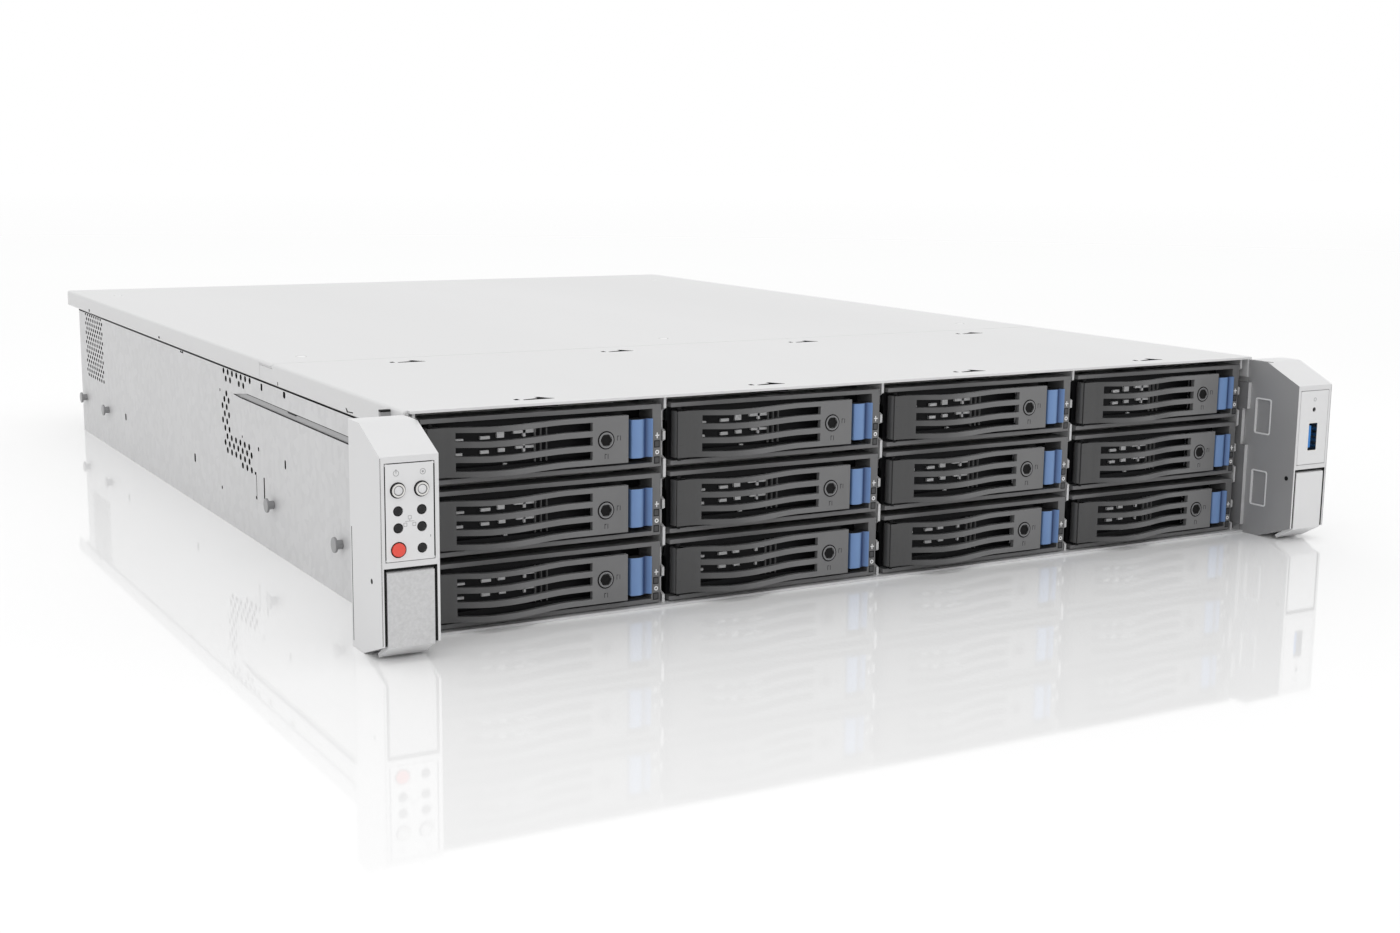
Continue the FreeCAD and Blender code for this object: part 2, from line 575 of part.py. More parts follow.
def backplane():
    """The board behind the drives, with one socket per drive and an air gap down each column."""
    half = "ear_inner - bracket_thick - board_play"
    board = block("Backplane", ("-(%s)" % half, half), ("cage_rear", "cage_rear + board_thick"),
                  ("gauge", "under_cover"))
    gaps = []
    sockets = []
    for column in range(4):
        left = "(%d) * bay_pitch + (bay_pitch - tray_wide) / 2" % (column - 2)
        gaps.append(block("Gap%d" % column, (left + " + air_inset", left + " + air_inset + air_wide"),
                          ("cage_rear - cut_past", "cage_rear + board_thick + cut_past"),
                          ("gauge + air_low", "under_cover - air_low")))
        for bay_row in range(3):
            low = "gauge + tray_seat + socket_lift + %d * row_pitch" % bay_row
            sockets.append(block("Socket%d_%d" % (column, bay_row),
                                 (left + " + socket_inset", left + " + socket_inset + socket_wide"),
                                 ("cage_rear - socket_deep", "cage_rear"), (low, low + " + socket_high")))
    vented = cut("VentedBackplane", board, group("BackplaneGaps", gaps))
    keep(group("BackplaneParts", [vented] + sockets), "drive_backplane")


def fan_housing(index, middle):
    """A square shell with a round bore, and a motor held on two crossed arms."""
    rear = "fan_front + fan_deep"
    arm_deep = (rear + " - arm_thick", rear)
    shell = block("FanShell%d" % index, (middle + " - fan_size / 2", middle + " + fan_size / 2"),
                  ("fan_front", rear), ("gauge", "gauge + fan_size"))
    bore = prism("FanBore%d" % index, 24, "fan_bore", "fan_deep + 2 * cut_past",
                 (middle, "fan_front - cut_past", "fan_middle"), BACK)
    arm = block("FanArm%d" % index,
                (middle + " - fan_size / 2 + arm_inset", middle + " + fan_size / 2 - arm_inset"),
                arm_deep, ("fan_middle - arm_wide / 2", "fan_middle + arm_wide / 2"))
    post = block("FanPost%d" % index, (middle + " - arm_wide / 2", middle + " + arm_wide / 2"),
                 arm_deep, ("gauge + arm_inset", "gauge + fan_size - arm_inset"))
    motor_front = "rotor_front + rotor_deep + rotor_play"
    motor = prism("FanMotor%d" % index, 12, "hub_round", rear + " - (%s)" % motor_front,
                  (middle, motor_front, "fan_middle"), BACK)
    return fuse("FanHousing%d" % index, [cut("FanRing%d" % index, shell, bore), arm, post, motor])


def fan_rotor(index, middle):
    """A hub with a spindle end and tilted blades."""
    hub = prism("Hub%d" % index, 12, "hub_round", "rotor_deep", (middle, "rotor_front", "fan_middle"), BACK)
    spindle = rod("Spindle%d" % index, "spindle_round", "rotor_deep",
                  (middle, "rotor_front - spindle_proud", "fan_middle"), BACK)
    vanes = [hub, spindle]
    centre = FreeCAD.Vector(number(middle), number("rotor_front + rotor_deep / 2"), number("fan_middle"))
    root = FreeCAD.Vector(number("blade_inset - rotor_deep / 2"), number("-blade_thick / 2"),
                          number("hub_round - blade_root"))
    tilt = FreeCAD.Rotation(FreeCAD.Vector(0, 0, 1), sizes["blade_tilt"])
    for vane in range(sizes["blade_count"]):
        # Each blade stands on the hub, tilted about its own length, then turned round the axis.
        blade = doc.addObject("Part::Box", "Blade%d_%d" % (index, vane))
        bind(blade, "Length", "rotor_deep - 2 * blade_inset")
        bind(blade, "Width", "blade_thick")
        bind(blade, "Height", "rotor_round - hub_round + blade_root")
        about = FreeCAD.Rotation(FreeCAD.Vector(0, 1, 0), 360.0 * vane / sizes["blade_count"])
        blade.Placement = FreeCAD.Placement(centre + about.multVec(tilt.multVec(root)), about.multiply(tilt))
        vanes.append(blade)
    return fuse("Rotor%d" % index, vanes)


def fans():
    """Three fans in line behind the backplane, and the wall that carries them."""
    half = "half_wide - joggle_step - gauge"
    wall = block("FanWall", ("-(%s)" % half, half), ("fan_wall", "fan_front"), ("gauge", "under_cover"))
    housings = []
    openings = []
    for index in range(3):
        middle = "(%d) * fan_pitch" % (index - 1)
        openings.append(block("WallOpening%d" % index,
                              (middle + " - wall_bore / 2", middle + " + wall_bore / 2"),
                              ("fan_wall - cut_past", "fan_front + cut_past"),
                              ("fan_middle - wall_bore / 2", "fan_middle + wall_bore / 2")))
        housings.append(fan_housing(index, middle))
    pierced = cut("PiercedFanWall", wall, group("WallOpenings3", openings))
    keep(group("FanFrame", [pierced] + housings), "fan_frame")
    for index in range(3):
        keep(fan_rotor(index, "(%d) * fan_pitch" % (index - 1)), "fan_rotor_%d" % (index + 1))


def mainboard():
    """The board on its spacers, with processor sockets, memory slots, card slots and rear ports."""
    parts = [block("Pcb", ("pcb_left", "pcb_left + pcb_wide"), ("pcb_front", "pcb_front + pcb_deep"),
                   ("pcb_low", "deck"))]
    for column, across in enumerate(("spacer_inset", "pcb_wide / 2", "pcb_wide - spacer_inset")):
        for line, along in enumerate(("spacer_inset", "pcb_deep / 2", "pcb_deep - spacer_inset")):
            parts.append(prism("Spacer%d_%d" % (column, line), 6, "spacer_round", "pcb_low - gauge",
                               ("pcb_left + " + across, "pcb_front + " + along, "gauge")))
    for name, middle in (("Left", "cpu_left"), ("Right", "cpu_right")):
        parts.append(block("CpuSocket" + name, (middle + " - cpu_wide / 2", middle + " + cpu_wide / 2"),
                           ("sink_front + cpu_seat", "sink_front + cpu_seat + cpu_wide"),
                           ("deck", "deck + cpu_high")))
    for index, left in enumerate(dimm_places()):
        parts.append(block("MemorySlot%d" % index, (left, left + " + slot_wide"),
                           ("slot_front", "slot_front + slot_long"), ("deck", "deck + slot_tall")))
    board_rear = "pcb_front + pcb_deep"
    for index in range(3):
        left = "pcb_left + riser_first + %d * riser_apart" % index
        parts.append(block("CardSlot%d" % index, (left, left + " + riser_wide"),
                           (board_rear + " - riser_inset - riser_long", board_rear + " - riser_inset"),
                           ("deck", "deck + riser_high")))
    for index in range(4):
        left = "port_left + port_first + %d * port_apart" % index
        parts.append(block("Port%d" % index, (left, left + " + port_wide"),
                           ("rear_wall - port_deep", "rear_wall + port_proud"), ("deck", "deck + port_high")))
    parts.append(block("ControlChip", ("pcb_left + chip_left", "pcb_left + chip_left + chip_wide"),
                       (board_rear + " - chip_inset - chip_wide", board_rear + " - chip_inset"),
                       ("deck", "deck + chip_high")))
    keep(group("MainboardParts", parts), "mainboard")


def dimm_places():
    """Left edges of the memory slots, in three groups of four."""
    starts = ("pcb_left + dimm_first", "cpu_left + cpu_wide / 2 + dimm_after",
              "cpu_right + cpu_wide / 2 + dimm_last")
    return ["%s + %d * dimm_pitch" % (start, index) for start in starts for index in range(4)]


def memory_modules():
    parts = []
    for index, left in enumerate(dimm_places()):
        edge = left + " + (slot_wide - dimm_thick) / 2"
        along = ("slot_front + (slot_long - dimm_long) / 2", "slot_front + (slot_long + dimm_long) / 2")
        parts.append(block("Module%d" % index, (edge, edge + " + dimm_thick"), along,
                           ("deck + slot_tall", "deck + slot_tall + dimm_tall")))
    keep(group("MemoryModules", parts), "memory_modules")


def heat_sinks():
    low = "deck + cpu_high"
    parts = []
    for name, middle in (("Left", "cpu_left"), ("Right", "cpu_right")):
        sink = body("Sink" + name)
        left = middle + " - sink_wide / 2"
        base = outline(sink, "SinkBase" + name, "XZ_Plane",
                       oblong((left, middle + " + sink_wide / 2"), (low, low + " + sink_base")), "-sink_front")
        pad(sink, base, "sink_deep", True)
        fin = outline(sink, "Fin" + name, "XZ_Plane",
                      oblong((left, left + " + fin_thick"),
                             (low + " + sink_base - fin_root", low + " + sink_tall")), "-sink_front")
        row_of(sink, pad(sink, fin, "sink_deep", True), "H_Axis", "fin_step", "fin_count")
        parts.append(sink)
    keep(group("HeatSinks", parts), "heat_sinks")


def power_supplies():
    """Two units one above the other, each with a recessed fan, an inlet and a pull handle."""
    face = "rear_wall + gauge"
    for unit in range(2):
        low = "psu_low + %d * psu_step" % unit
        middle = low + " + psu_tall / 2"
        case = block("PsuCase%d" % unit, ("psu_left", "psu_left + psu_wide"), ("psu_front", face),
                     (low, low + " + psu_tall"))
        fan_spot = ("psu_left + grille_inset", "rear_wall + gauge - grille_deep", middle)
        well = prism("PsuWell%d" % unit, 12, "grille_round", "grille_deep + cut_past", fan_spot, BACK)
        hub = prism("PsuHub%d" % unit, 8, "grille_hub", "grille_deep - cut_past", fan_spot, BACK)
        inlet_left = "psu_left + inlet_inset"
        inlet = block("InletWell%d" % unit, (inlet_left, inlet_left + " + inlet_wide"),
                      ("rear_wall - inlet_deep", face + " + cut_past"),
                      (middle + " - inlet_high / 2", middle + " + inlet_high / 2"))
        hollowed = cut("PsuHollow%d" % unit, case, group("PsuWells%d" % unit, [well, inlet]))
        parts = [hollowed, hub]
        for index in range(3):
            left = inlet_left + " + prong_first + %d * prong_step" % index
            parts.append(block("Prong%d_%d" % (unit, index), (left, left + " + prong_wide"),
                               ("rear_wall - inlet_deep", "rear_wall - inlet_deep + prong_long"),
                               (middle + " - prong_high / 2", middle + " + prong_high / 2")))
        handle = body("PsuHandle%d" % unit)
        near = "psu_left + handle_inset"
        far = "psu_left + handle_inset + handle_span"
        reach = "rear_wall + gauge + handle_out"
        plan = [(near, face), (near, reach), (far, reach), (far, face), (far + " - handle_bar", face),
                (far + " - handle_bar", reach + " - handle_bar"),
                (near + " + handle_bar", reach + " - handle_bar"), (near + " + handle_bar", face)]
        pad(handle, outline(handle, "HandlePlan%d" % unit, "XY_Plane", plan, middle + " - handle_thick / 2"),
            "handle_thick")
        parts.append(handle)
        keep(group("PowerSupply%d" % unit, parts), "power_supply_%d" % (unit + 1))


def ear(side):
    """One end casting in front of the rack post; side is -1 for the left and 1 for the right."""
    name = "Left" if side < 0 else "Right"
    casting = body(name + "Casting")
    profile = [("-ear_back", "0"), ("-ear_back", "ear_top"), ("-bevel_back", "ear_top"),
               ("-ear_deep", "bevel_low"), ("-ear_deep", "chin_high"), ("-chin_back", "0")]
    low_side = "-ear_outer" if side < 0 else "ear_inner"
    pad(casting, outline(casting, name + "Profile", "YZ_Plane", profile, low_side), "ear_wide")
    right_strip = ("ear_inner", "ear_inner + relief_wide")
    strip = ("-ear_inner - relief_wide", "-ear_inner") if side < 0 else right_strip
    relief = outline(casting, name + "Relief", "XY_Plane", oblong(strip, ("-sheet_front", "0")), "ear_top")
    pocket(casting, relief, "ear_top")
    middle = "(%d) * ear_middle" % side
    seat = (middle + " - panel_wide / 2 - panel_gap", middle + " + panel_wide / 2 + panel_gap")
    panel = outline(casting, name + "PanelSeat", "XZ_Plane",
                    oblong(seat, ("panel_low - panel_gap", "panel_low + panel_high + panel_gap")), "ear_deep")
    pocket(casting, panel, "panel_thick")
    inside = (middle + " - panel_wide / 2 + hollow_inset", middle + " + panel_wide / 2 - hollow_inset")
    hollow = outline(casting, name + "Hollow", "XZ_Plane",
                     oblong(inside, ("panel_low + hollow_inset", "panel_low + panel_high - hollow_inset")),
                     "ear_deep - panel_thick")
    pocket(casting, hollow, "ear_deep - panel_thick - sheet_front - ear_skin")
    gap = (middle + " - flap_wide / 2 - flap_gap", middle + " + flap_wide / 2 + flap_gap")
    recess = outline(casting, name + "FlapRecess", "XZ_Plane",
                     oblong(gap, ("-cut_past", "flap_pin_high + flap_round + flap_gap")), "ear_deep")
    pocket(casting, recess, "recess_deep")
    slot = oblong((middle + " - screw_shank - screw_play", middle + " + screw_shank + screw_play"),
                  ("rack_screw_high - screw_shank - screw_float",
                   "rack_screw_high + screw_shank + screw_float"))
    casting.Tip = pocket(casting, outline(casting, name + "ScrewSlot", "XZ_Plane", slot,
                                          "ear_deep - recess_deep"), "ear_deep - recess_deep")
    if side > 0:
        lows = ("pry_low", "pry_low + pry_step")
        marks = [oblong(("-pry_inset", "pry_long - pry_inset"), (low, low + " + pry_high")) for low in lows]
        casting.Tip = pocket(casting, outlines(casting, "PryMarks", "YZ_Plane", marks, "ear_inner"),
                             "pry_deep", True)
    inner = "(%d) * ear_inner" % side
    plate = sorted((inner, inner + " - (%d) * bracket_thick" % side), key=number)
    bracket = block(name + "Bracket", plate, ("-front_lip", "bracket_long"), ("bracket_low", "bracket_high"))
    notch = block(name + "Notch", (plate[0] + " - cut_past", plate[1] + " + cut_past"),
                  ("-front_lip - cut_past", "notch_deep - front_lip"), ("notch_low", "notch_high"))
    slotted = cut(name + "SlottedBracket", bracket, notch)
    shank = prism(name + "ScrewShank", 6, "screw_shank", "ear_deep - recess_deep - ear_back",
                  (middle, "recess_deep - ear_deep", "rack_screw_high"), BACK)
    head = prism(name + "ScrewHead", 12, "screw_head", "head_long",
                 (middle, "recess_deep - ear_deep - head_long", "rack_screw_high"), BACK)
    pin = rod(name + "FlapPin", "flap_pin", "flap_wide + 2 * flap_gap",
              (gap[0], "-flap_pin_back", "flap_pin_high"), ACROSS)
    keep(group(name + "Ear", [casting, slotted, shank, head, pin]), name.lower() + "_ear")


def flap(side):
    """The cover over the rack screw, with a barrel along its top edge and a lip under its foot."""
    name = "Left" if side < 0 else "Right"
    plate = body(name + "FlapPlate")
    left = "(%d) * ear_middle - flap_wide / 2" % side
    back = "flap_thick - ear_deep"
    profile = [("-ear_deep", "flap_pin_high + flap_flat"), ("-ear_deep", "flap_low"),
               ("-lip_back - lip_edge", "lip_low"), ("-lip_back", "lip_low + lip_thick"),
               (back, "flap_low + lip_thick"), (back, "flap_pin_high - flap_round"),
               ("flap_flat - flap_pin_back", "flap_pin_high - flap_round"),
               ("flap_round - flap_pin_back", "flap_pin_high - flap_flat"),
               ("flap_round - flap_pin_back", "flap_pin_high + flap_flat"),
               ("flap_flat - flap_pin_back", "flap_pin_high + flap_round"),
               ("-flap_flat - flap_pin_back", "flap_pin_high + flap_round")]
    pad(plate, outline(plate, name + "FlapProfile", "YZ_Plane", profile, left), "flap_wide")
    bore = outline(plate, name + "FlapBore", "YZ_Plane",
                   octagon("-flap_pin_back", "flap_pin_high", "flap_pin + pin_play"), left + " - cut_past")
    pocket(plate, bore, "flap_wide + 2 * cut_past", True)
    keep(plate, name.lower() + "_flap")


def control_panel():
    """The insert of the left ear with its lamps, the board behind it and the three keys."""
    high = ("panel_low", "panel_low + panel_high")
    plate = body("ControlPlate")
    across = ("-ear_middle - panel_wide / 2", "-ear_middle + panel_wide / 2")
    face = outline(plate, "ControlFace", "XZ_Plane", oblong(across, high), "ear_deep")
    pad(plate, face, "panel_thick", True)
    outer = "-ear_middle - key_column"
    inner = "-ear_middle + key_column"
    keys = [(outer, "key_top"), (inner, "key_top"), (outer, "key_low")]
    holes = [spot + ("key_round + key_play",) for spot in keys]
    key_holes = rings(plate, "KeyHoles", "XZ_Plane", holes, "ear_deep + cut_past")
    pocket(plate, key_holes, "panel_thick + 2 * cut_past")
    parts = [plate]
    lamps = [(outer, "lamp_top"), (inner, "lamp_top"), (outer, "lamp_mid"), (inner, "lamp_mid"),
             (inner, "key_low")]
    for index, (at, height) in enumerate(lamps):
        parts.append(prism("Lamp%d" % index, 8, "lamp_round", "lamp_proud",
                           (at, "-ear_deep - lamp_proud", height), BACK))
    behind = "key_long + key_travel - ear_deep"
    parts.append(block("ControlBoard", (across[0] + " + hollow_inset", across[1] + " - hollow_inset"),
                       (behind, behind + " + board_thick"),
                       ("panel_low + hollow_inset", "panel_low + panel_high - hollow_inset")))
    keep(group("ControlPanel", parts), "control_panel")
    for label, (at, height) in zip(("power_button", "identify_button", "service_button"), keys):
        key = prism(label.title().replace("_", ""), 16, "key_round", "key_proud + key_long",
                    (at, "-ear_deep - key_proud", height), BACK)
        keep(key, label)


def port_panel():
    """The insert of the right ear with a lamp and an upright USB socket."""
    plate = body("PortPlate")
    across = ("ear_middle - panel_wide / 2", "ear_middle + panel_wide / 2")
    face = oblong(across, ("panel_low", "panel_low + panel_high"))
    pad(plate, outline(plate, "PortFace", "XZ_Plane", face, "ear_deep"), "panel_thick", True)
    usb_across = ("ear_middle - usb_wide / 2", "ear_middle + usb_wide / 2")
    usb_up = ("usb_low", "usb_low + usb_high")
    pocket(plate, outline(plate, "PortOpening", "XZ_Plane", oblong(usb_across, usb_up), "ear_deep + cut_past"),
           "panel_thick + 2 * cut_past")
    case = block("UsbCase", usb_across, ("-ear_deep", "usb_deep - ear_deep"), usb_up)
    hollow = block("UsbHollow", (usb_across[0] + " + usb_skin", usb_across[1] + " - usb_skin"),
                   ("-ear_deep - cut_past", "usb_deep - usb_back - ear_deep"),
                   (usb_up[0] + " + usb_skin", usb_up[1] + " - usb_skin"))
    tongue = block("UsbTongue", ("ear_middle - usb_shift - usb_tongue", "ear_middle - usb_shift"),
                   ("usb_back - ear_deep", "usb_deep - usb_back - ear_deep"),
                   (usb_up[0] + " + usb_inset", usb_up[1] + " - usb_inset"))
    lamp = prism("PortLamp", 8, "port_lamp", "lamp_proud",
                 ("ear_middle", "-ear_deep - lamp_proud", "usb_lamp"), BACK)
    keep(group("PortPanel", [plate, cut("UsbShell", case, hollow), tongue, lamp]), "port_panel")


def rail_studs():
    """Mushroom studs that hang the chassis in its slide rails, four on each side."""
    places = ("stud_first", "lid_seam + stud_after_seam", "rear_wall - stud_rear - stud_apart",
              "rear_wall - stud_rear")
    parts = []
    for side in (-1, 1):
        for index, along in enumerate(places):
            name = "%d_%d" % (side + 1, index)
            parts.append(prism("Stud" + name, 6, "stud_shank", "stud_long - stud_cap",
                               ("(%d) * half_wide" % side, along, "stud_high"), (side, 0, 0)))
            under_cap = "(%d) * (half_wide + stud_long - stud_cap)" % side
            parts.append(rod("StudCap" + name, "stud_head", "stud_cap", (under_cap, along, "stud_high"),
                             (side, 0, 0)))
    keep(group("RailStuds", parts), "rail_studs")


chassis_tray()
covers()
drive_cage()
drive_bays()
backplane()
fans()
mainboard()
memory_modules()
heat_sinks()
power_supplies()
for side in (-1, 1):
    ear(side)
    flap(side)
control_panel()
port_panel()
rail_studs()
doc.recompute()

for item in doc.Objects:
    if "Invalid" in item.State or "Error" in item.State:
        raise ValueError("%s is %s" % (item.Name, item.State))
for item in nodes:
    if item.Shape.isNull() or not item.Shape.isValid():
        raise ValueError(item.Label + " has no valid shape")

os.makedirs("parts", exist_ok=True)
for item in nodes:
    item.Shape.exportStep("parts/%s.step" % item.Label)
print("%d sub-parts written" % len(nodes))
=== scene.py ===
import bpy
import bmesh
import json
import math
from mathutils import Matrix, Quaternion, Vector

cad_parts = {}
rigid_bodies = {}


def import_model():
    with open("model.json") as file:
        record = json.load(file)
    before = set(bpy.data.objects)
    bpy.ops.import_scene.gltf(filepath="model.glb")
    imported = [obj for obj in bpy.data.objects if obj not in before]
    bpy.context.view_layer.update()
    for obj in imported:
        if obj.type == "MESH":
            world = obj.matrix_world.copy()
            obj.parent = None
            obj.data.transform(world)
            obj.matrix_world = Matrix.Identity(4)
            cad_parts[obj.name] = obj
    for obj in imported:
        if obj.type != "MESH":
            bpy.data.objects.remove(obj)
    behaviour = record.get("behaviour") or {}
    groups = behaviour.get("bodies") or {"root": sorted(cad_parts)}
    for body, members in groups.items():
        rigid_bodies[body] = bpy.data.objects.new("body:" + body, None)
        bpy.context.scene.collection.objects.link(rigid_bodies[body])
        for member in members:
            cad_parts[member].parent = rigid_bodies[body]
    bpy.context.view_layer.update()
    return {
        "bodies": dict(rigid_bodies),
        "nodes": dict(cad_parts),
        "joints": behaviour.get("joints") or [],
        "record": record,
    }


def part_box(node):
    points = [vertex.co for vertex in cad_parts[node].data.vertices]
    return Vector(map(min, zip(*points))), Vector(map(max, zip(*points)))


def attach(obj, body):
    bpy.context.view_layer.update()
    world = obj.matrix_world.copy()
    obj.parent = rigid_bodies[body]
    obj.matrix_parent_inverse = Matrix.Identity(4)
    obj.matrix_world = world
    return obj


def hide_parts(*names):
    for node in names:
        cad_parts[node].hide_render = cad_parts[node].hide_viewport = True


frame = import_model()
scene = bpy.context.scene
mm = 0.001
bayPitch = 107.6            # from one column of bays to the next
rowPitch = 28.3             # from one row of bays to the next
halfWide = 220              # from the middle to the outside of a side wall
print("frame loaded,", len(frame["nodes"]), "nodes")

# ---- small tools for meshes; every length below is in millimetres until a piece is settled


def addBox(bm, low, high, slot=0):
    corners = [bm.verts.new((x, y, z)) for x in (low[0], high[0]) for y in (low[1], high[1])
               for z in (low[2], high[2])]
    for ring in ((0, 1, 3, 2), (4, 6, 7, 5), (0, 4, 5, 1), (2, 3, 7, 6), (0, 2, 6, 4), (1, 5, 7, 3)):
        bm.faces.new([corners[i] for i in ring]).material_index = slot


def addPrism(bm, outline, axis, start, end, slot=0):
    # outline holds the two other coordinates, in the order x, y, z
    def spot(pair, along):
        point = list(pair)
        point.insert("xyz".index(axis), along)
        return point
    near = [bm.verts.new(spot(pair, start)) for pair in outline]
    far = [bm.verts.new(spot(pair, end)) for pair in outline]
    made = [bm.faces.new(near), bm.faces.new(far)]
    for i in range(len(outline)):
        j = (i + 1) % len(outline)
        made.append(bm.faces.new((near[i], near[j], far[j], far[i])))
    for face in made:
        face.material_index = slot
    bmesh.ops.recalc_face_normals(bm, faces=made)


def addRound(bm, centre, axis, length, radii, steps=24, slot=0):
    # a turned shape: radii is one number, or pairs of (distance along the axis, radius)
    if not isinstance(radii, (list, tuple)):
        radii = [(0, radii), (length, radii)]
    turn = Vector((0, 0, 1)).rotation_difference(Vector(axis))
    rings = []
    for along, radius in radii:
        ring = []
        for i in range(steps):
            angle = 2 * math.pi * i / steps
            spot = Vector((radius * math.cos(angle), radius * math.sin(angle), along))
            ring.append(bm.verts.new(Vector(centre) + turn @ spot))
        rings.append(ring)
    made = [bm.faces.new(rings[0]), bm.faces.new(rings[-1])]
    for a, b in zip(rings, rings[1:]):
        for i in range(steps):
            j = (i + 1) % steps
            made.append(bm.faces.new((a[i], a[j], b[j], b[i])))
    for face in made:
        face.material_index = slot
    bmesh.ops.recalc_face_normals(bm, faces=made)


def addRing(bm, centre, axis, length, outer, inner, steps=32, slot=0, phase=0):
    # a plain ring, open along its middle
    turn = Vector((0, 0, 1)).rotation_difference(Vector(axis)) @ Quaternion((0, 0, 1), phase)
    loops = []
    for radius, along in ((inner, 0), (outer, 0), (outer, length), (inner, length)):
        loops.append([bm.verts.new(Vector(centre) + turn @ Vector((radius * math.cos(2 * math.pi * i / steps),
                      radius * math.sin(2 * math.pi * i / steps), along))) for i in range(steps)])
    made = []
    for k in range(4):
        a, b = loops[k], loops[(k + 1) % 4]
        for i in range(steps):
            j = (i + 1) % steps
            made.append(bm.faces.new((a[i], a[j], b[j], b[i])))
    for face in made:
        face.material_index = slot
    bmesh.ops.recalc_face_normals(bm, faces=made)


def addMesh(bm, mesh, matrix=None, slot=None):
    # a copy of a finished mesh, moved into place
    before, faces = len(bm.verts), len(bm.faces)
    bm.from_mesh(mesh)
    bm.verts.ensure_lookup_table()
    bm.faces.ensure_lookup_table()
    if matrix is not None:
        bmesh.ops.transform(bm, matrix=matrix, verts=bm.verts[before:])
    if slot is not None:
        for face in bm.faces[faces:]:
            face.material_index = slot


def meshOf(name, sketch):
    mesh = bpy.data.meshes.new(name)
    sketch.to_mesh(mesh)
    sketch.free()
    return mesh


def sideBox(bm, side, x, y, z, slot=0):
    # a box on either side wall, with x given for the right one
    left, right = sorted((side * x[0], side * x[1]))
    addBox(bm, (left, y[0], z[0]), (right, y[1], z[1]), slot)


def roundedLoop(low, high, radius, steps=4):
    # the corners of a rounded rectangle, anticlockwise
    points = []
    for cx, cy, turn in ((high[0] - radius, high[1] - radius, 0), (low[0] + radius, high[1] - radius, 90),
                         (low[0] + radius, low[1] + radius, 180), (high[0] - radius, low[1] + radius, 270)):
        for i in range(steps + 1):
            angle = math.radians(turn + 90 * i / steps)
            points.append((cx + radius * math.cos(angle), cy + radius * math.sin(angle)))
    return points


def bake(piece):
    old = piece.data
    piece.data = bpy.data.meshes.new_from_object(piece.evaluated_get(bpy.context.evaluated_depsgraph_get()))
    piece.modifiers.clear()
    bpy.data.meshes.remove(old)


def settle(name, bm, finishes, body, nodes=(), bevel=0, segments=2, angle=40, smooth=35):
    # turns a sketch in millimetres into a finished piece that rides on a body
    bm.normal_update()
    mesh = meshOf(name, bm)
    mesh.transform(Matrix.Scale(mm, 4))
    for finish in finishes:
        mesh.materials.append(finish)
    piece = bpy.data.objects.new(name, mesh)
    scene.collection.objects.link(piece)
    if bevel:
        edge = piece.modifiers.new("edge", "BEVEL")
        edge.width = bevel * mm
        edge.segments = segments
        edge.limit_method = "ANGLE"
        edge.angle_limit = math.radians(angle)
        bake(piece)
    piece.data.shade_smooth()
    piece.data.set_sharp_from_angle(angle=math.radians(smooth))
    if bevel:
        flat = piece.modifiers.new("flat", "WEIGHTED_NORMAL")      # keeps the broad faces flat
        flat.keep_sharp = True
        bake(piece)
    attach(piece, body)
    if nodes:
        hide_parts(*nodes)
    return piece


def solidAt(start):
    # every vertex that edges join to this one
    reached, rim = {start}, [start]
    while rim:
        rim = list({link.other_vert(vert) for vert in rim for link in vert.link_edges} - reached)
        reached |= set(rim)
    return reached


def cadCopy(nodeName, near=None):
    # a merged copy of a CAD node in millimetres, or only its solid with a corner nearest to a point
    bm = bmesh.new()
    bm.from_mesh(frame["nodes"][nodeName].data)
    bmesh.ops.transform(bm, matrix=Matrix.Scale(1 / mm, 4), verts=bm.verts)
    bmesh.ops.remove_doubles(bm, verts=bm.verts, dist=0.001)
    if near:
        kept = solidAt(min(bm.verts, key=lambda vert: (vert.co - Vector(near)).length))
        bmesh.ops.delete(bm, geom=[vert for vert in bm.verts if vert not in kept], context="VERTS")
    bmesh.ops.dissolve_limit(bm, angle_limit=math.radians(1), verts=bm.verts, edges=bm.edges)
    return bm


def circleLoop(x, y, radius, steps=28):
    return [(x + radius * math.cos(2 * math.pi * i / steps), y + radius * math.sin(2 * math.pi * i / steps))
            for i in range(steps)]


# ---- node helpers, for materials and geometry alike


def node(tree, kind, settings=None, **values):
    # one node; values name its inputs, either by a plain value or by the socket that feeds it
    made = tree.nodes.new(kind)
    for key, value in (settings or {}).items():
        setattr(made, key, value)
    for key, value in values.items():
        socket = made.inputs[int(key[1:])] if key[0] == "_" else made.inputs[key.replace("_", " ")]
        if isinstance(value, bpy.types.NodeSocket):
            tree.links.new(value, socket)
        else:
            socket.default_value = value
    return made


def reckon(tree, operation, *values):
    numbered = {"_%d" % i: value for i, value in enumerate(values)}
    return node(tree, "ShaderNodeMath", {"operation": operation}, **numbered).outputs[0]


def spotOf(tree, **parts):
    return node(tree, "ShaderNodeCombineXYZ", **parts).outputs[0]


# ---- materials


def newFinish(name):
    finish = bpy.data.materials.new(name)
    finish.use_nodes = True
    return finish, finish.node_tree, finish.node_tree.nodes["Principled BSDF"]


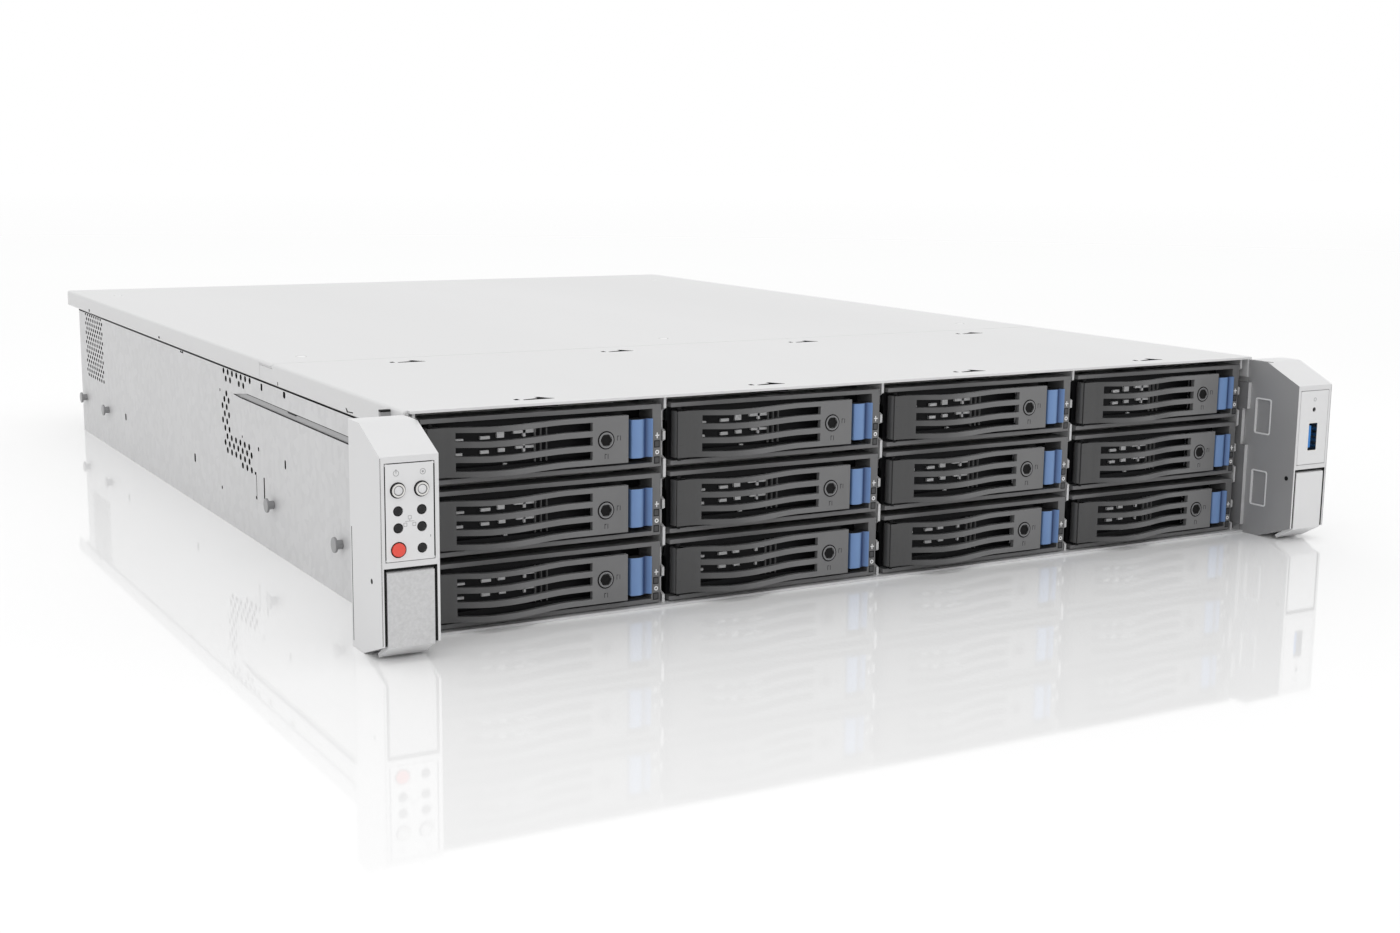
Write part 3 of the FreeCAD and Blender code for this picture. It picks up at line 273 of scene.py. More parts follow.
def sweptLightAndShade(tree, place, colour, lightSweep):
    # painted light and shade: a tone that changes across one column of bays, and again in the next
    parts = node(tree, "ShaderNodeSeparateXYZ", Vector=place)
    turns = reckon(tree, "MULTIPLY_ADD", parts.outputs["X"], 1 / (bayPitch * mm), 2.0)
    tones = node(tree, "ShaderNodeValToRGB", Fac=reckon(tree, "FRACT", turns))
    tones.color_ramp.interpolation = "EASE"
    while len(tones.color_ramp.elements) < len(lightSweep):
        tones.color_ramp.elements.new(0.5)
    for element, (at, share) in zip(tones.color_ramp.elements, lightSweep):
        element.position = at / bayPitch
        element.color = (share if isinstance(share, tuple) else (share,) * 3) + (1,)
    return node(tree, "ShaderNodeVectorMath", {"operation": "MULTIPLY"}, _0=colour,
                _1=tones.outputs["Color"]).outputs["Vector"]


def crystalTone(tree, pattern, colour, cells):
    # crystals of a zinc coat, each a little lighter or darker
    crystals = node(tree, "ShaderNodeTexVoronoi", Vector=pattern, Scale=cells[0])
    grey = node(tree, "ShaderNodeSeparateColor", Color=crystals.outputs["Color"])
    span = node(tree, "ShaderNodeMapRange", Value=grey.outputs["Red"], To_Min=1 - cells[1], To_Max=1 + cells[1])
    return node(tree, "ShaderNodeVectorMath", {"operation": "SCALE"}, _0=colour,
                Scale=span.outputs["Result"]).outputs["Vector"]


def finishOf(name, tone, rough, metal=0.0, mottle=(40, 0.06), grain=(1500, 0.05), stretch=(1, 1, 1),
             coat=0.0, cells=None, specular=0.5, lightSweep=None):
    # a slow noise shifts the tone and the roughness, and a fine one makes the bump
    finish, tree, shader = newFinish(name)
    for key, value in (("Metallic", metal), ("Coat Weight", coat), ("Coat Roughness", 0.15),
                       ("Specular IOR Level", specular)):
        shader.inputs[key].default_value = value
    place = node(tree, "ShaderNodeTexCoord").outputs["Object"]
    pattern = node(tree, "ShaderNodeMapping", Vector=place, Scale=stretch).outputs["Vector"]
    slow = node(tree, "ShaderNodeTexNoise", Vector=pattern, Scale=mottle[0], Detail=4).outputs["Fac"]
    ramp = node(tree, "ShaderNodeValToRGB", Fac=slow)
    for element, at, share in zip(ramp.color_ramp.elements, (0.3, 0.7), (1 - mottle[1], 1 + mottle[1])):
        element.position = at
        element.color = [min(1, part * share) for part in tone] + [1]
    colour = ramp.outputs["Color"]
    if lightSweep:
        colour = sweptLightAndShade(tree, place, colour, lightSweep)
    if cells:
        colour = crystalTone(tree, pattern, colour, cells)
    fine = node(tree, "ShaderNodeTexNoise", Vector=pattern, Scale=grain[0], Detail=2)
    worn = node(tree, "ShaderNodeMapRange", Value=slow, To_Min=max(0.02, rough - 0.06),
                To_Max=min(1, rough + 0.06))
    bump = node(tree, "ShaderNodeBump", Strength=grain[1], Distance=0.0002, Height=fine.outputs["Fac"])
    tree.links.new(colour, shader.inputs["Base Color"])
    tree.links.new(worn.outputs["Result"], shader.inputs["Roughness"])
    tree.links.new(bump.outputs["Normal"], shader.inputs["Normal"])
    return finish


sheetZinc = finishOf("sheetZinc", (0.64, 0.64, 0.645), 0.48, metal=0.3, mottle=(14, 0.03), grain=(900, 0.08),
                     cells=(260, 0.035))
coverZinc = finishOf("coverZinc", (0.71, 0.71, 0.712), 0.5, metal=0.2, mottle=(9, 0.02), grain=(700, 0.05),
                     stretch=(1, 0.15, 1))
innerZinc = finishOf("innerZinc", (0.62, 0.62, 0.63), 0.42, metal=0.7, mottle=(20, 0.04), cells=(300, 0.05))
earPaint = finishOf("earPaint", (0.72, 0.72, 0.725), 0.42, mottle=(25, 0.015), grain=(2600, 0.12))
flapPaint = finishOf("flapPaint", (0.60, 0.60, 0.605), 0.5, mottle=(900, 0.07), grain=(2200, 0.25))
studSteel = finishOf("studSteel", (0.30, 0.30, 0.305), 0.3, metal=0.8, mottle=(60, 0.05), grain=(700, 0.05))
# painted shade: zinc darkened for the recessed floor of the side channel
grooveShade = finishOf("grooveShade", (0.40, 0.40, 0.405), 0.45, metal=0.3, mottle=(14, 0.04), grain=(900, 0.08))
panelPaint = finishOf("panelPaint", (0.76, 0.76, 0.765), 0.4, mottle=(30, 0.012), grain=(3000, 0.06))
# painted shade: dark grey for faces between the trays and behind the ears
insideShade = finishOf("insideShade", (0.20, 0.20, 0.205), 0.5, mottle=(30, 0.05), grain=(1200, 0.10))
lockGrey = finishOf("lockGrey", (0.20, 0.20, 0.205), 0.22, metal=0.6, mottle=(90, 0.05), grain=(900, 0.05))
# painted shade: the ear's paint darkened for faces that lie in shade
cheekShade = finishOf("cheekShade", (0.30, 0.30, 0.305), 0.45, mottle=(30, 0.03), grain=(1800, 0.10))
trayPlastic = finishOf("trayPlastic", (0.145, 0.145, 0.147), 0.38, mottle=(60, 0.05), grain=(1800, 0.12))
# painted shade: the lever darkens towards its left end, which lies in shade
leverPlastic = finishOf("leverPlastic", (0.165, 0.165, 0.167), 0.36, mottle=(60, 0.05), grain=(1800, 0.14),
                        lightSweep=[(0, 0.30), (11, 0.34), (24, 0.52), (46, 0.88), (70, 1.0)])
# near-black plastic of frames and walls, also used as painted shade inside the trays
wallPlasticAndShade = finishOf("wallPlasticAndShade", (0.012, 0.012, 0.013), 0.4, mottle=(50, 0.1), grain=(900, 0.1),
                       specular=0.12)
# black of iron parts and printed marks, also used as painted shade on the release tab's top
ironBlackAndShade = finishOf("ironBlackAndShade", (0.02, 0.02, 0.021), 0.45, mottle=(30, 0.1), grain=(900, 0.15),
                     specular=0.2)
# painted highlight and painted shade across the release tab: a light band, a dark groove, then a lighter lip
tabBlue = finishOf("tabBlue", (0.16, 0.275, 0.51), 0.34, mottle=(80, 0.04), grain=(1600, 0.06),
                   lightSweep=[(90.8, (0.86, 0.88, 0.92)), (95.0, (1.0, 1.0, 1.0)), (97.8, (0.05, 0.11, 0.22)),
                          (99.4, (0.62, 0.68, 0.76)), (101.0, (0.86, 0.90, 0.95))])
keyRed = finishOf("keyRed", (0.80, 0.07, 0.045), 0.3, mottle=(200, 0.04), grain=(1500, 0.03), coat=0.3)
keyWhite = finishOf("keyWhite", (0.72, 0.72, 0.73), 0.35, mottle=(100, 0.03), grain=(1500, 0.05))
lampDark = finishOf("lampDark", (0.015, 0.015, 0.016), 0.12, mottle=(300, 0.2), grain=(900, 0.02),
                    specular=0.25)
windowGrey = finishOf("windowGrey", (0.07, 0.07, 0.072), 0.18, mottle=(300, 0.1), grain=(900, 0.02),
                      specular=0.3)
# white of printed marks, also used as painted highlight on the lid's rivet heads
inkWhiteAndHighlight = finishOf("inkWhiteAndHighlight", (0.85, 0.85, 0.85), 0.6, mottle=(500, 0.05), grain=(2000, 0.05))
inkGrey = finishOf("inkGrey", (0.36, 0.36, 0.365), 0.6, mottle=(500, 0.08), grain=(2000, 0.05))
nickel = finishOf("nickel", (0.72, 0.71, 0.69), 0.24, metal=1.0, mottle=(60, 0.03), grain=(500, 0.03))
castMetal = finishOf("castMetal", (0.50, 0.50, 0.51), 0.42, metal=0.9, mottle=(60, 0.06), grain=(700, 0.25))
boardGreen = finishOf("boardGreen", (0.02, 0.12, 0.05), 0.4, mottle=(90, 0.15), grain=(1500, 0.1), coat=0.3)
usbBlue = finishOf("usbBlue", (0.03, 0.22, 0.62), 0.35, mottle=(200, 0.05), grain=(900, 0.05))
# black of sockets and small parts, also used as painted shade behind openings, in gaps and on hole walls
socketBlackAndShade = finishOf("socketBlackAndShade", (0.012, 0.012, 0.012), 0.5, mottle=(60, 0.1), grain=(900, 0.2),
                       specular=0.08)
print("materials made,", len(bpy.data.materials))

# ---- geometry nodes


def newTree(name, inputs):
    # an empty tree and the sockets of its own inputs
    tree = bpy.data.node_groups.new(name, "GeometryNodeTree")
    tree.interface.new_socket("Geometry", in_out="INPUT", socket_type="NodeSocketGeometry")
    for label, kind, value in inputs:
        socket = tree.interface.new_socket(label, in_out="INPUT", socket_type="NodeSocket" + kind)
        socket.default_value = value
    tree.interface.new_socket("Geometry", in_out="OUTPUT", socket_type="NodeSocketGeometry")
    return tree, tree.nodes.new("NodeGroupInput").outputs


def finishTree(tree, geometry, finish):
    # the last nodes of a tree: real geometry in its material
    real = node(tree, "GeometryNodeRealizeInstances", Geometry=geometry)
    painted = node(tree, "GeometryNodeSetMaterial", Geometry=real.outputs["Geometry"], Material=finish)
    node(tree, "NodeGroupOutput", Geometry=painted.outputs["Geometry"])
    return tree


def joined(tree, *parts):
    both = node(tree, "GeometryNodeJoinGeometry")
    for part in parts:
        tree.links.new(part, both.inputs[0])
    return both.outputs[0]


def thickened(tree, sheet, direction, thick):
    # gives a sheet a thickness and closes it with its own turned face
    risen = node(tree, "GeometryNodeExtrudeMesh", {"mode": "FACES"}, Mesh=sheet, Offset=direction,
                 Offset_Scale=thick, Individual=False)
    under = node(tree, "GeometryNodeFlipFaces", Mesh=sheet)
    closed = joined(tree, under.outputs["Mesh"], risen.outputs["Mesh"])
    return node(tree, "GeometryNodeMergeByDistance", Geometry=closed, Distance=0.001).outputs["Geometry"]


def runTree(mesh, tree, values=None):
    # lets the tree work on a mesh and gives back the plain result
    holder = bpy.data.objects.new("holder", mesh)
    scene.collection.objects.link(holder)
    modifier = holder.modifiers.new("nodes", "NODES")
    modifier.node_group = tree
    for item in tree.interface.items_tree:
        if item.in_out == "INPUT" and values and item.name in values:
            modifier[item.identifier] = values[item.name]
    result = bpy.data.meshes.new_from_object(holder.evaluated_get(bpy.context.evaluated_depsgraph_get()))
    holder.modifiers.clear()
    bpy.data.objects.remove(holder)
    result.polygons.foreach_set("material_index", [0] * len(result.polygons))
    return result


def gridOfHoles():
    # closed curves on a staggered grid, for any perforation
    tree, g = newTree("gridOfHoles", [
        ("Columns", "Int", 4), ("Rows", "Int", 4), ("Across", "Float", 4.0), ("Up", "Float", 4.0),
        ("Stagger", "Float", 0.0), ("Hole Wide", "Float", 2.0), ("Hole Tall", "Float", 2.0),
        ("Sides", "Int", 8), ("Place", "Vector", (0, 0, 0))])
    wide = reckon(tree, "MULTIPLY", reckon(tree, "SUBTRACT", g["Columns"], 1.0), g["Across"])
    tall = reckon(tree, "MULTIPLY", reckon(tree, "SUBTRACT", g["Rows"], 1.0), g["Up"])
    grid = node(tree, "GeometryNodeMeshGrid", Size_X=wide, Size_Y=tall, Vertices_X=g["Columns"],
                Vertices_Y=g["Rows"])
    index = node(tree, "GeometryNodeInputIndex").outputs[0]
    odd = reckon(tree, "MODULO", reckon(tree, "MODULO", index, g["Rows"]), 2.0)
    aside = spotOf(tree, X=reckon(tree, "MULTIPLY", odd, g["Stagger"]))
    moved = node(tree, "GeometryNodeSetPosition", Geometry=grid.outputs["Mesh"], Offset=aside)
    circle = node(tree, "GeometryNodeCurvePrimitiveCircle", Resolution=g["Sides"], Radius=0.5)
    placed = node(tree, "GeometryNodeInstanceOnPoints", Points=moved.outputs["Geometry"],
                  Instance=circle.outputs["Curve"],
                  Scale=spotOf(tree, X=g["Hole Wide"], Y=g["Hole Tall"], Z=1.0))
    real = node(tree, "GeometryNodeRealizeInstances", Geometry=placed.outputs["Instances"])
    put = node(tree, "GeometryNodeTransform", Geometry=real.outputs["Geometry"], Translation=g["Place"])
    node(tree, "NodeGroupOutput", Geometry=put.outputs["Geometry"])
    return tree


holeGrid = gridOfHoles()


def perforatedSheet(name, loops, vents, thick, finish):
    # loops of corner points are cut as they are, and every vent is a staggered grid of holes
    tree, g = newTree(name, [("Thickness", "Float", thick)])
    curves = [node(tree, "GeometryNodeMeshToCurve", Mesh=g["Geometry"]).outputs["Curve"]]
    for vent in vents:
        patch = node(tree, "GeometryNodeGroup", {"node_tree": holeGrid})
        for key, value in vent.items():
            patch.inputs[key].default_value = value
        curves.append(patch.outputs["Geometry"])
    fill = node(tree, "GeometryNodeFillCurve", Curve=joined(tree, *curves))
    finishTree(tree, thickened(tree, fill.outputs["Mesh"], spotOf(tree, Z=1.0), g["Thickness"]), finish)
    base = bmesh.new()
    for points in loops:
        corners = [base.verts.new((x, y, 0)) for x, y in points]
        for a, b in zip(corners, corners[1:] + corners[:1]):
            base.edges.new((a, b))
    return runTree(meshOf(name, base), tree)


def oblong(x, y):
    return [(x[0], y[0]), (x[1], y[0]), (x[1], y[1]), (x[0], y[1])]


# planes a flat sheet is put on: local x, y and thickness become these
def sideWall(x):
    return Matrix(((0, 0, 1, x), (1, 0, 0, 0), (0, 1, 0, 0), (0, 0, 0, 1)))


def rearWall(y):
    return Matrix(((1, 0, 0, 0), (0, 0, -1, y), (0, 1, 0, 0), (0, 0, 0, 1)))


def level(z):
    return Matrix.Translation((0, 0, z))


def shadeCutWalls(mesh, x, y):
    # puts the cut edges inside a sheet, between these bounds, in its second material: painted shade on the
    # walls of holes and slots
    for face in mesh.polygons:
        if abs(face.normal.z) < 0.5 and x[0] < face.center.x < x[1] and y[0] < face.center.y < y[1]:
            face.material_index = 1


print("tools and node trees ready")

# ---- chassis: folded pan with its vents, slots and side channel
pan = {"gauge": 1, "sheet": 0.6, "front": -0.6, "rear": 578, "wallTop": 78.2, "flangeTop": 86.4,
       "channel": (65.6, 69.0), "channelEnd": (204, 214, 227), "lip": 0.35, "notch": (130, 141),
       "rearVent": {"Columns": 8, "Rows": 14, "Across": 6.1, "Up": 2.95, "Stagger": 3.05, "Hole Wide": 3.3,
                    "Hole Tall": 2.4, "Sides": 8, "Place": (534.5, 57.6, 0)},
       "shadeLiners": [(188, 252, 14, 78), (505, 566, 14, 78), (128, 198, 14, 50), (296, 308, 18, 30),
                  (450, 464, 18, 30), (140, 185, 72, 78), (314, 328, 74, 78)]}
sideHole = {"Across": 7.35, "Up": 3.56, "Stagger": -3.65, "Hole Wide": 3.5, "Hole Tall": 3.2, "Sides": 8}
# patches of the side vent: columns, rows, foremost hole, lowest hole
sidePatches = [(7, 1, 198.3, 75.7), (2, 1, 231.4, 72.1), (2, 1, 209.1, 72.1), (1, 1, 238.7, 64.9),
               (2, 5, 235.1, 47.5), (6, 1, 202.3, 43.8), (7, 1, 198.8, 40.3), (6, 1, 202.6, 36.8),
               (3, 1, 199.2, 33.2)]
# slots and clip openings in the side wall: from and to along, from and to up, corner radius
sideSlots = [(178.9, 180.6, 20.9, 32.9, 0.6), (191.5, 192.3, 22.0, 32.0, 0.3), (191.4, 193.6, 20.4, 22.0, 0.6),
             (191.8, 194.4, 32.0, 33.4, 0.5), (145.6, 147.7, 42.0, 46.2, 1.0), (455.8, 458.8, 22.0, 26.2, 1.2),
             (300.4, 303.2, 21.2, 25.8, 1.2), (178.3, 181.0, 73.2, 76.6, 0.8), (143.9, 147.2, 74.0, 77.0, 1.0),
             (318.5, 324.5, 76.2, 77.2, 0.4), (186.2, 188.2, 44.0, 46.0, 0.7), (250.8, 252.4, 15.4, 17.2, 0.6),
             (249.2, 250.6, 64.6, 66.2, 0.6), (212.7, 214.1, 46.6, 47.8, 0.4)]
sideVents = [pan["rearVent"]]
for columns, rows, nearest, lowest in sidePatches:
    patch = dict(sideHole, Columns=columns, Rows=rows)
    patch["Place"] = (nearest + patch["Across"] * (columns - 1) / 2, lowest + patch["Up"] * (rows - 1) / 2, 0)
    if rows > 1:
        patch["Stagger"] = -patch["Stagger"]
    sideVents.append(patch)
channelLow, channelHigh = pan["channel"]
upperEnd, lowerEnd, tipEnd = pan["channelEnd"]
sideLoops = [oblong((pan["front"], pan["rear"]), (0, pan["wallTop"]))]
sideLoops += [roundedLoop((y0, z0), (y1, z1), radius) for y0, y1, z0, z1, radius in sideSlots]
sideLoops.append([(0.5, channelLow), (lowerEnd, channelLow), (tipEnd, channelLow + 0.5),
                  (upperEnd, channelHigh), (0.5, channelHigh)])
sideSheet = perforatedSheet("sideSheet", sideLoops, sideVents, pan["sheet"], sheetZinc)
shadeCutWalls(sideSheet, (1, pan["rear"] - 1), (1, 78))
bm = bmesh.new()
for x in (-halfWide, halfWide - pan["sheet"]):
    addMesh(bm, sideSheet, sideWall(x))
for side in (-1, 1):
    # above the wall the sheet steps in, to make room for the covers' flanges
    step = [(0, 77.4), (0, pan["wallTop"]), (1.2, pan["wallTop"] + 0.8), (1.2, pan["flangeTop"]),
            (2.2, pan["flangeTop"]), (2.2, 77.4)]
    addPrism(bm, [(side * (halfWide - inward), z) for inward, z in step], "y", pan["front"], pan["rear"])
    sideBox(bm, side, (218.8, 219.3), (pan["front"], 229), (64.5, 69.8), 2)         # floor of the channel, darker as painted shade
    # painted shadow lines along the channel's upper and lower edges, and in its notch
    sideBox(bm, side, (219.35, 219.9), (0.6, upperEnd), (channelHigh - pan["lip"], channelHigh), 1)
    sideBox(bm, side, (219.35, 219.9), (0.6, lowerEnd), (channelLow, channelLow + 0.25), 1)
    sideBox(bm, side, (219.5, halfWide), pan["notch"], (channelHigh - 0.9, channelHigh), 1)
    for y0, y1, z0, z1 in pan["shadeLiners"]:
        sideBox(bm, side, (217.9, 218.3), (y0, y1), (z0, z1), 1)                    # painted shade: black plates behind openings
addBox(bm, (-219.4, -3, 0), (219.4, pan["rear"] - 1, pan["gauge"]))
settle("chassisPan", bm, [sheetZinc, socketBlackAndShade, grooveShade], "chassis", ["chassis_tray"], smooth=30)

# ---- rear wall, its slot covers and the walls of the power supply bay
rear = {"psu": ((141.5, 217), (1, 81.8)), "ports": ((-25, 105), (9.6, 33)), "cards": ((-205, -45), (14, 80)),
        "risers": ((-25, 105), (38, 80))}
slotCover = {"pitch": 22, "tall": 21, "rows": [("card", -207, -43, 14, 3), ("riser", -27, 107, 38, 2)]}
psuBay = {"inner": 140.5, "outer": 219, "front": 390, "shelf": 40.4}
rearLoop = oblong((-217.8, 217.8), (0.5, pan["flangeTop"]))
smallVent = {"Across": 4.4, "Up": 3.8, "Stagger": 2.2, "Hole Wide": 3.0, "Hole Tall": 3.0, "Sides": 6}
rearVents = [dict(smallVent, Columns=28, Rows=2, Place=(-126, 7.5, 0)),
             dict(smallVent, Columns=6, Rows=16, Place=(122, 46, 0))]
rearLoops = [rearLoop] + [oblong(*opening) for opening in rear.values()]
rearSheet = perforatedSheet("rearSheet", rearLoops, rearVents, 1, sheetZinc)
bm = bmesh.new()
addMesh(bm, rearSheet, rearWall(pan["rear"]))
for name, left, right, low, count in slotCover["rows"]:
    long = right - left
    vent = dict(smallVent, Columns=int(long / smallVent["Across"]) - 3, Rows=4)
    vent["Place"] = (long / 2 - 2, slotCover["tall"] / 2, 0)
    plate = perforatedSheet(name + "Cover", [oblong((0, long), (0, slotCover["tall"]))], [vent], 1, sheetZinc)
    for i in range(count):
        base = low + slotCover["pitch"] * i
        addMesh(bm, plate, rearWall(pan["rear"] + 1) @ Matrix.Translation((left, base + 0.5, 0)))
        screw = (right - 5, pan["rear"] + 1, base + 11)
        addRound(bm, screw, (0, 1, 0), 1.6, [(0, 2.6), (1.1, 2.6), (1.6, 2.0)], 16, 1)
addBox(bm, (psuBay["inner"] + 1, psuBay["front"], psuBay["shelf"]),
       (psuBay["outer"], pan["rear"] - 1, psuBay["shelf"] + 1.2))
addBox(bm, (psuBay["inner"], psuBay["front"], 1), (psuBay["inner"] + 1, pan["rear"] - 1, pan["flangeTop"]))
settle("chassisRear", bm, [sheetZinc, nickel], "chassis", smooth=30)
print("chassis done")

# ---- covers
cover = {"top": 87.5, "gauge": 1, "flangeLow": 78.4, "bend": 1.3, "flat": 216, "front": -0.6,
         "seam": (162.6, 163), "wing": 181.6, "rear": 612, "rearLow": 81.4}
hookAt = {"across": [bayPitch * share for share in (-1.5, -0.5, 0.5, 1.5)], "along": (10.1, 147.1)}
catch = {"along": (12.5, 14.5), "reach": 224}
rivet = {"at": ((-199, 186), (-5, 189), (191.5, 193.5), (-199, 560), (191.5, 560)), "hole": 2.7}


def flangeProfile(side):
    # the folded edge of a cover, with a rounded bend
    bend, under = cover["bend"], cover["top"] - cover["gauge"]
    points = [(halfWide - 1, cover["flangeLow"]), (halfWide, cover["flangeLow"])]
    for i in range(6):
        angle = math.radians(90 * i / 5)
        points.append((halfWide - bend + bend * math.cos(angle),
                       cover["top"] - bend + bend * math.sin(angle)))
    points += [(cover["flat"], cover["top"]), (cover["flat"], under), (halfWide - 1, under)]
    return [(side * x, z) for x, z in points]


def hookLoops(x, y):
    # the opening of a lanced hook, a wedge with a tick, and the notch at its other end
    wedge = [(-5.6, -3.0), (7.6, -3.0), (7.6, -2.2), (5.6, -0.2), (3.4, 3.4), (1.6, 3.4), (1.6, 0.4),
             (-5.6, -1.4)]
    notch = [(-8.8, -1.8), (-6.7, -1.8), (-6.7, 1.6), (-8.8, 0.6)]
    return [[(x + dx, y + dy) for dx, dy in loop] for loop in (wedge, notch)]


seamFront, seamRear = cover["seam"]
under = cover["top"] - cover["gauge"]
hookCuts = [loop for x in hookAt["across"] for y in hookAt["along"] for loop in hookLoops(x, y)]
frontLoop = oblong((-cover["flat"], cover["flat"]), (cover["front"], seamFront))
frontTop = perforatedSheet("frontTop", [frontLoop] + hookCuts, [], cover["gauge"], coverZinc)
shadeCutWalls(frontTop, (-215, 215), (0, 162))
bm = bmesh.new()
addMesh(bm, frontTop, level(under))
addBox(bm, (-218, -3, under), (218, cover["front"], cover["top"]))
spring = [(62.2, 78.6), (64.0, 80.4), (62.6, 80.4), (61.0, 79.3), (55, 79.7), (55, 79.2), (61.0, 78.9)]
for side in (-1, 1):
    addPrism(bm, flangeProfile(side), "y", cover["front"], seamFront)
    sideBox(bm, side, (halfWide - 1, halfWide), (seamFront, cover["wing"]), (cover["flangeLow"], 85.2))
    sideBox(bm, side, (219.8, 220.02), (154.2, 155.1), (78.6, 80.2), 1)                     # dimple, drawn as a black patch of painted shade
    mark = sorted((side * 219.8, side * 220.02))
    addPrism(bm, spring, "x", mark[0], mark[1], 1)                                          # lanced spring, drawn in black as painted shade
    # the catch in the ear's pocket, in painted shade grey with a black top edge
    sideBox(bm, side, (halfWide, catch["reach"]), catch["along"], (80, 86.2), 2)
    sideBox(bm, side, (halfWide, catch["reach"]), (catch["along"][0] - 0.2, catch["along"][1] + 0.1),
            (85.6, 86.3), 1)
for x in hookAt["across"]:
    for y in hookAt["along"]:
        addBox(bm, (x - 9.5, y - 4, 84.6), (x + 8.5, y + 4.4, 84.9), 1)     # painted shade: a black plate under a lanced hook
settle("frontTopCover", bm, [coverZinc, socketBlackAndShade, cheekShade], "chassis", ["front_cover"], smooth=30)

lidLoops = [oblong((-cover["flat"], cover["flat"]), (seamRear, cover["rear"]))]
lidLoops += [circleLoop(x, y, rivet["hole"]) for x, y in rivet["at"]]
bm = bmesh.new()
addMesh(bm, perforatedSheet("lidTop", lidLoops, [], cover["gauge"], coverZinc), level(under))
for side in (-1, 1):
    # over the front cover's wing only the bend goes on
    bend = [(x, z) for x, z in flangeProfile(side) if z > 85.3]
    addPrism(bm, bend + [(side * 220, 85.4), (side * 219, 85.4)], "y", seamRear, cover["wing"] + 0.4)
    addPrism(bm, flangeProfile(side), "y", cover["wing"] + 0.4, cover["rear"])
    for y0, y1, z0, z1 in ((367.6, 370.6, 79.2, 80.4), (545.4, 548.4, 79.0, 80.6)):
        sideBox(bm, side, (219.8, 220.02), (y0, y1), (z0, z1), 1)
addBox(bm, (-cover["flat"], cover["rear"] - 1, cover["rearLow"]), (cover["flat"], cover["rear"], under))
# rivet heads in white: painted highlights for their shine
for x, y in rivet["at"]:
    addRound(bm, (x, y, under), (0, 0, 1), 0.95, [(0, 2.65), (0.6, 2.65), (0.95, 1.9)], 20, 2)
settle("slidingLid", bm, [coverZinc, socketBlackAndShade, inkWhiteAndHighlight], "lid", ["rear_lid"], smooth=30)
print("covers done")

# ---- drive bays
bay = {"across": 103.2, "low": 0.3, "tall": 25.8, "deep": 163, "rail": 1.8, "frame": 11, "post": 99.1,
       "inner": (4.4, 5.6), "windows": (1.4, 8.0), "ring": 6.2, "cross": 13.0}
bow = {"Bow": 6.0, "Start": 7.0, "Crest": 27.0, "Fall": 31.0, "End": 62.0, "Thick": 2.2}
lever = {"left": 1.8, "right": 86.9, "front": -2.7, "rows": (3.4, 5.6, 9.0, 11.35, 14.75, 17.1, 20.5, 22.5),
         "louvre": (12.6, 71.0), "lock": (76.9, 13.1), "marks": ((82.6, 13.6), (77.1, 6.6)), "pin": (4.0, 0.5)}


def bowTree():
    # bends a flat plate into the lever's bow and gives it its thickness
    tree, g = newTree("leverBow", [(key, "Float", value) for key, value in bow.items()])
    place = node(tree, "GeometryNodeInputPosition").outputs[0]
    along = node(tree, "ShaderNodeSeparateXYZ", Vector=place).outputs["X"]
    soft = {"interpolation_type": "SMOOTHSTEP"}
    rise = node(tree, "ShaderNodeMapRange", soft, Value=along, From_Min=g["Start"], From_Max=g["Crest"])
    fall = node(tree, "ShaderNodeMapRange", soft, Value=along, From_Min=g["Fall"], From_Max=g["End"],
                To_Min=1.0, To_Max=0.0)
    swell = reckon(tree, "MULTIPLY", rise.outputs[0], fall.outputs[0])
    forward = reckon(tree, "MULTIPLY", reckon(tree, "MULTIPLY", swell, g["Bow"]), -1.0)
    bent = node(tree, "GeometryNodeSetPosition", Geometry=g["Geometry"], Offset=spotOf(tree, Y=forward))
    return finishTree(tree, thickened(tree, bent.outputs["Geometry"], spotOf(tree, Y=1.0), g["Thick"]),
                      leverPlastic)


def leverPlate():
    # columns of cells with the three louvres left open
    stops = [lever["left"], 8.0, 9.5, 11.0] + [lever["louvre"][0] + 2.0 * i for i in range(30)]
    stops = [x for x in stops if x < lever["louvre"][1] - 1] + [lever["louvre"][1], 79.0, lever["right"]]
    flat = bmesh.new()
    rows = lever["rows"]
    grid = [[flat.verts.new((x, lever["front"], z)) for z in rows] for x in stops]
    for i in range(len(stops) - 1):
        for k in range(len(rows) - 1):
            inLouvre = lever["louvre"][0] - 0.01 < stops[i] < lever["louvre"][1] - 0.01
            if not (inLouvre and k in (1, 3, 5)):
                # faces look backwards, so that the plate grows away from its front
                flat.faces.new((grid[i][k], grid[i][k + 1], grid[i + 1][k + 1], grid[i + 1][k]))
    return runTree(meshOf("leverFlat", flat), bowTree())


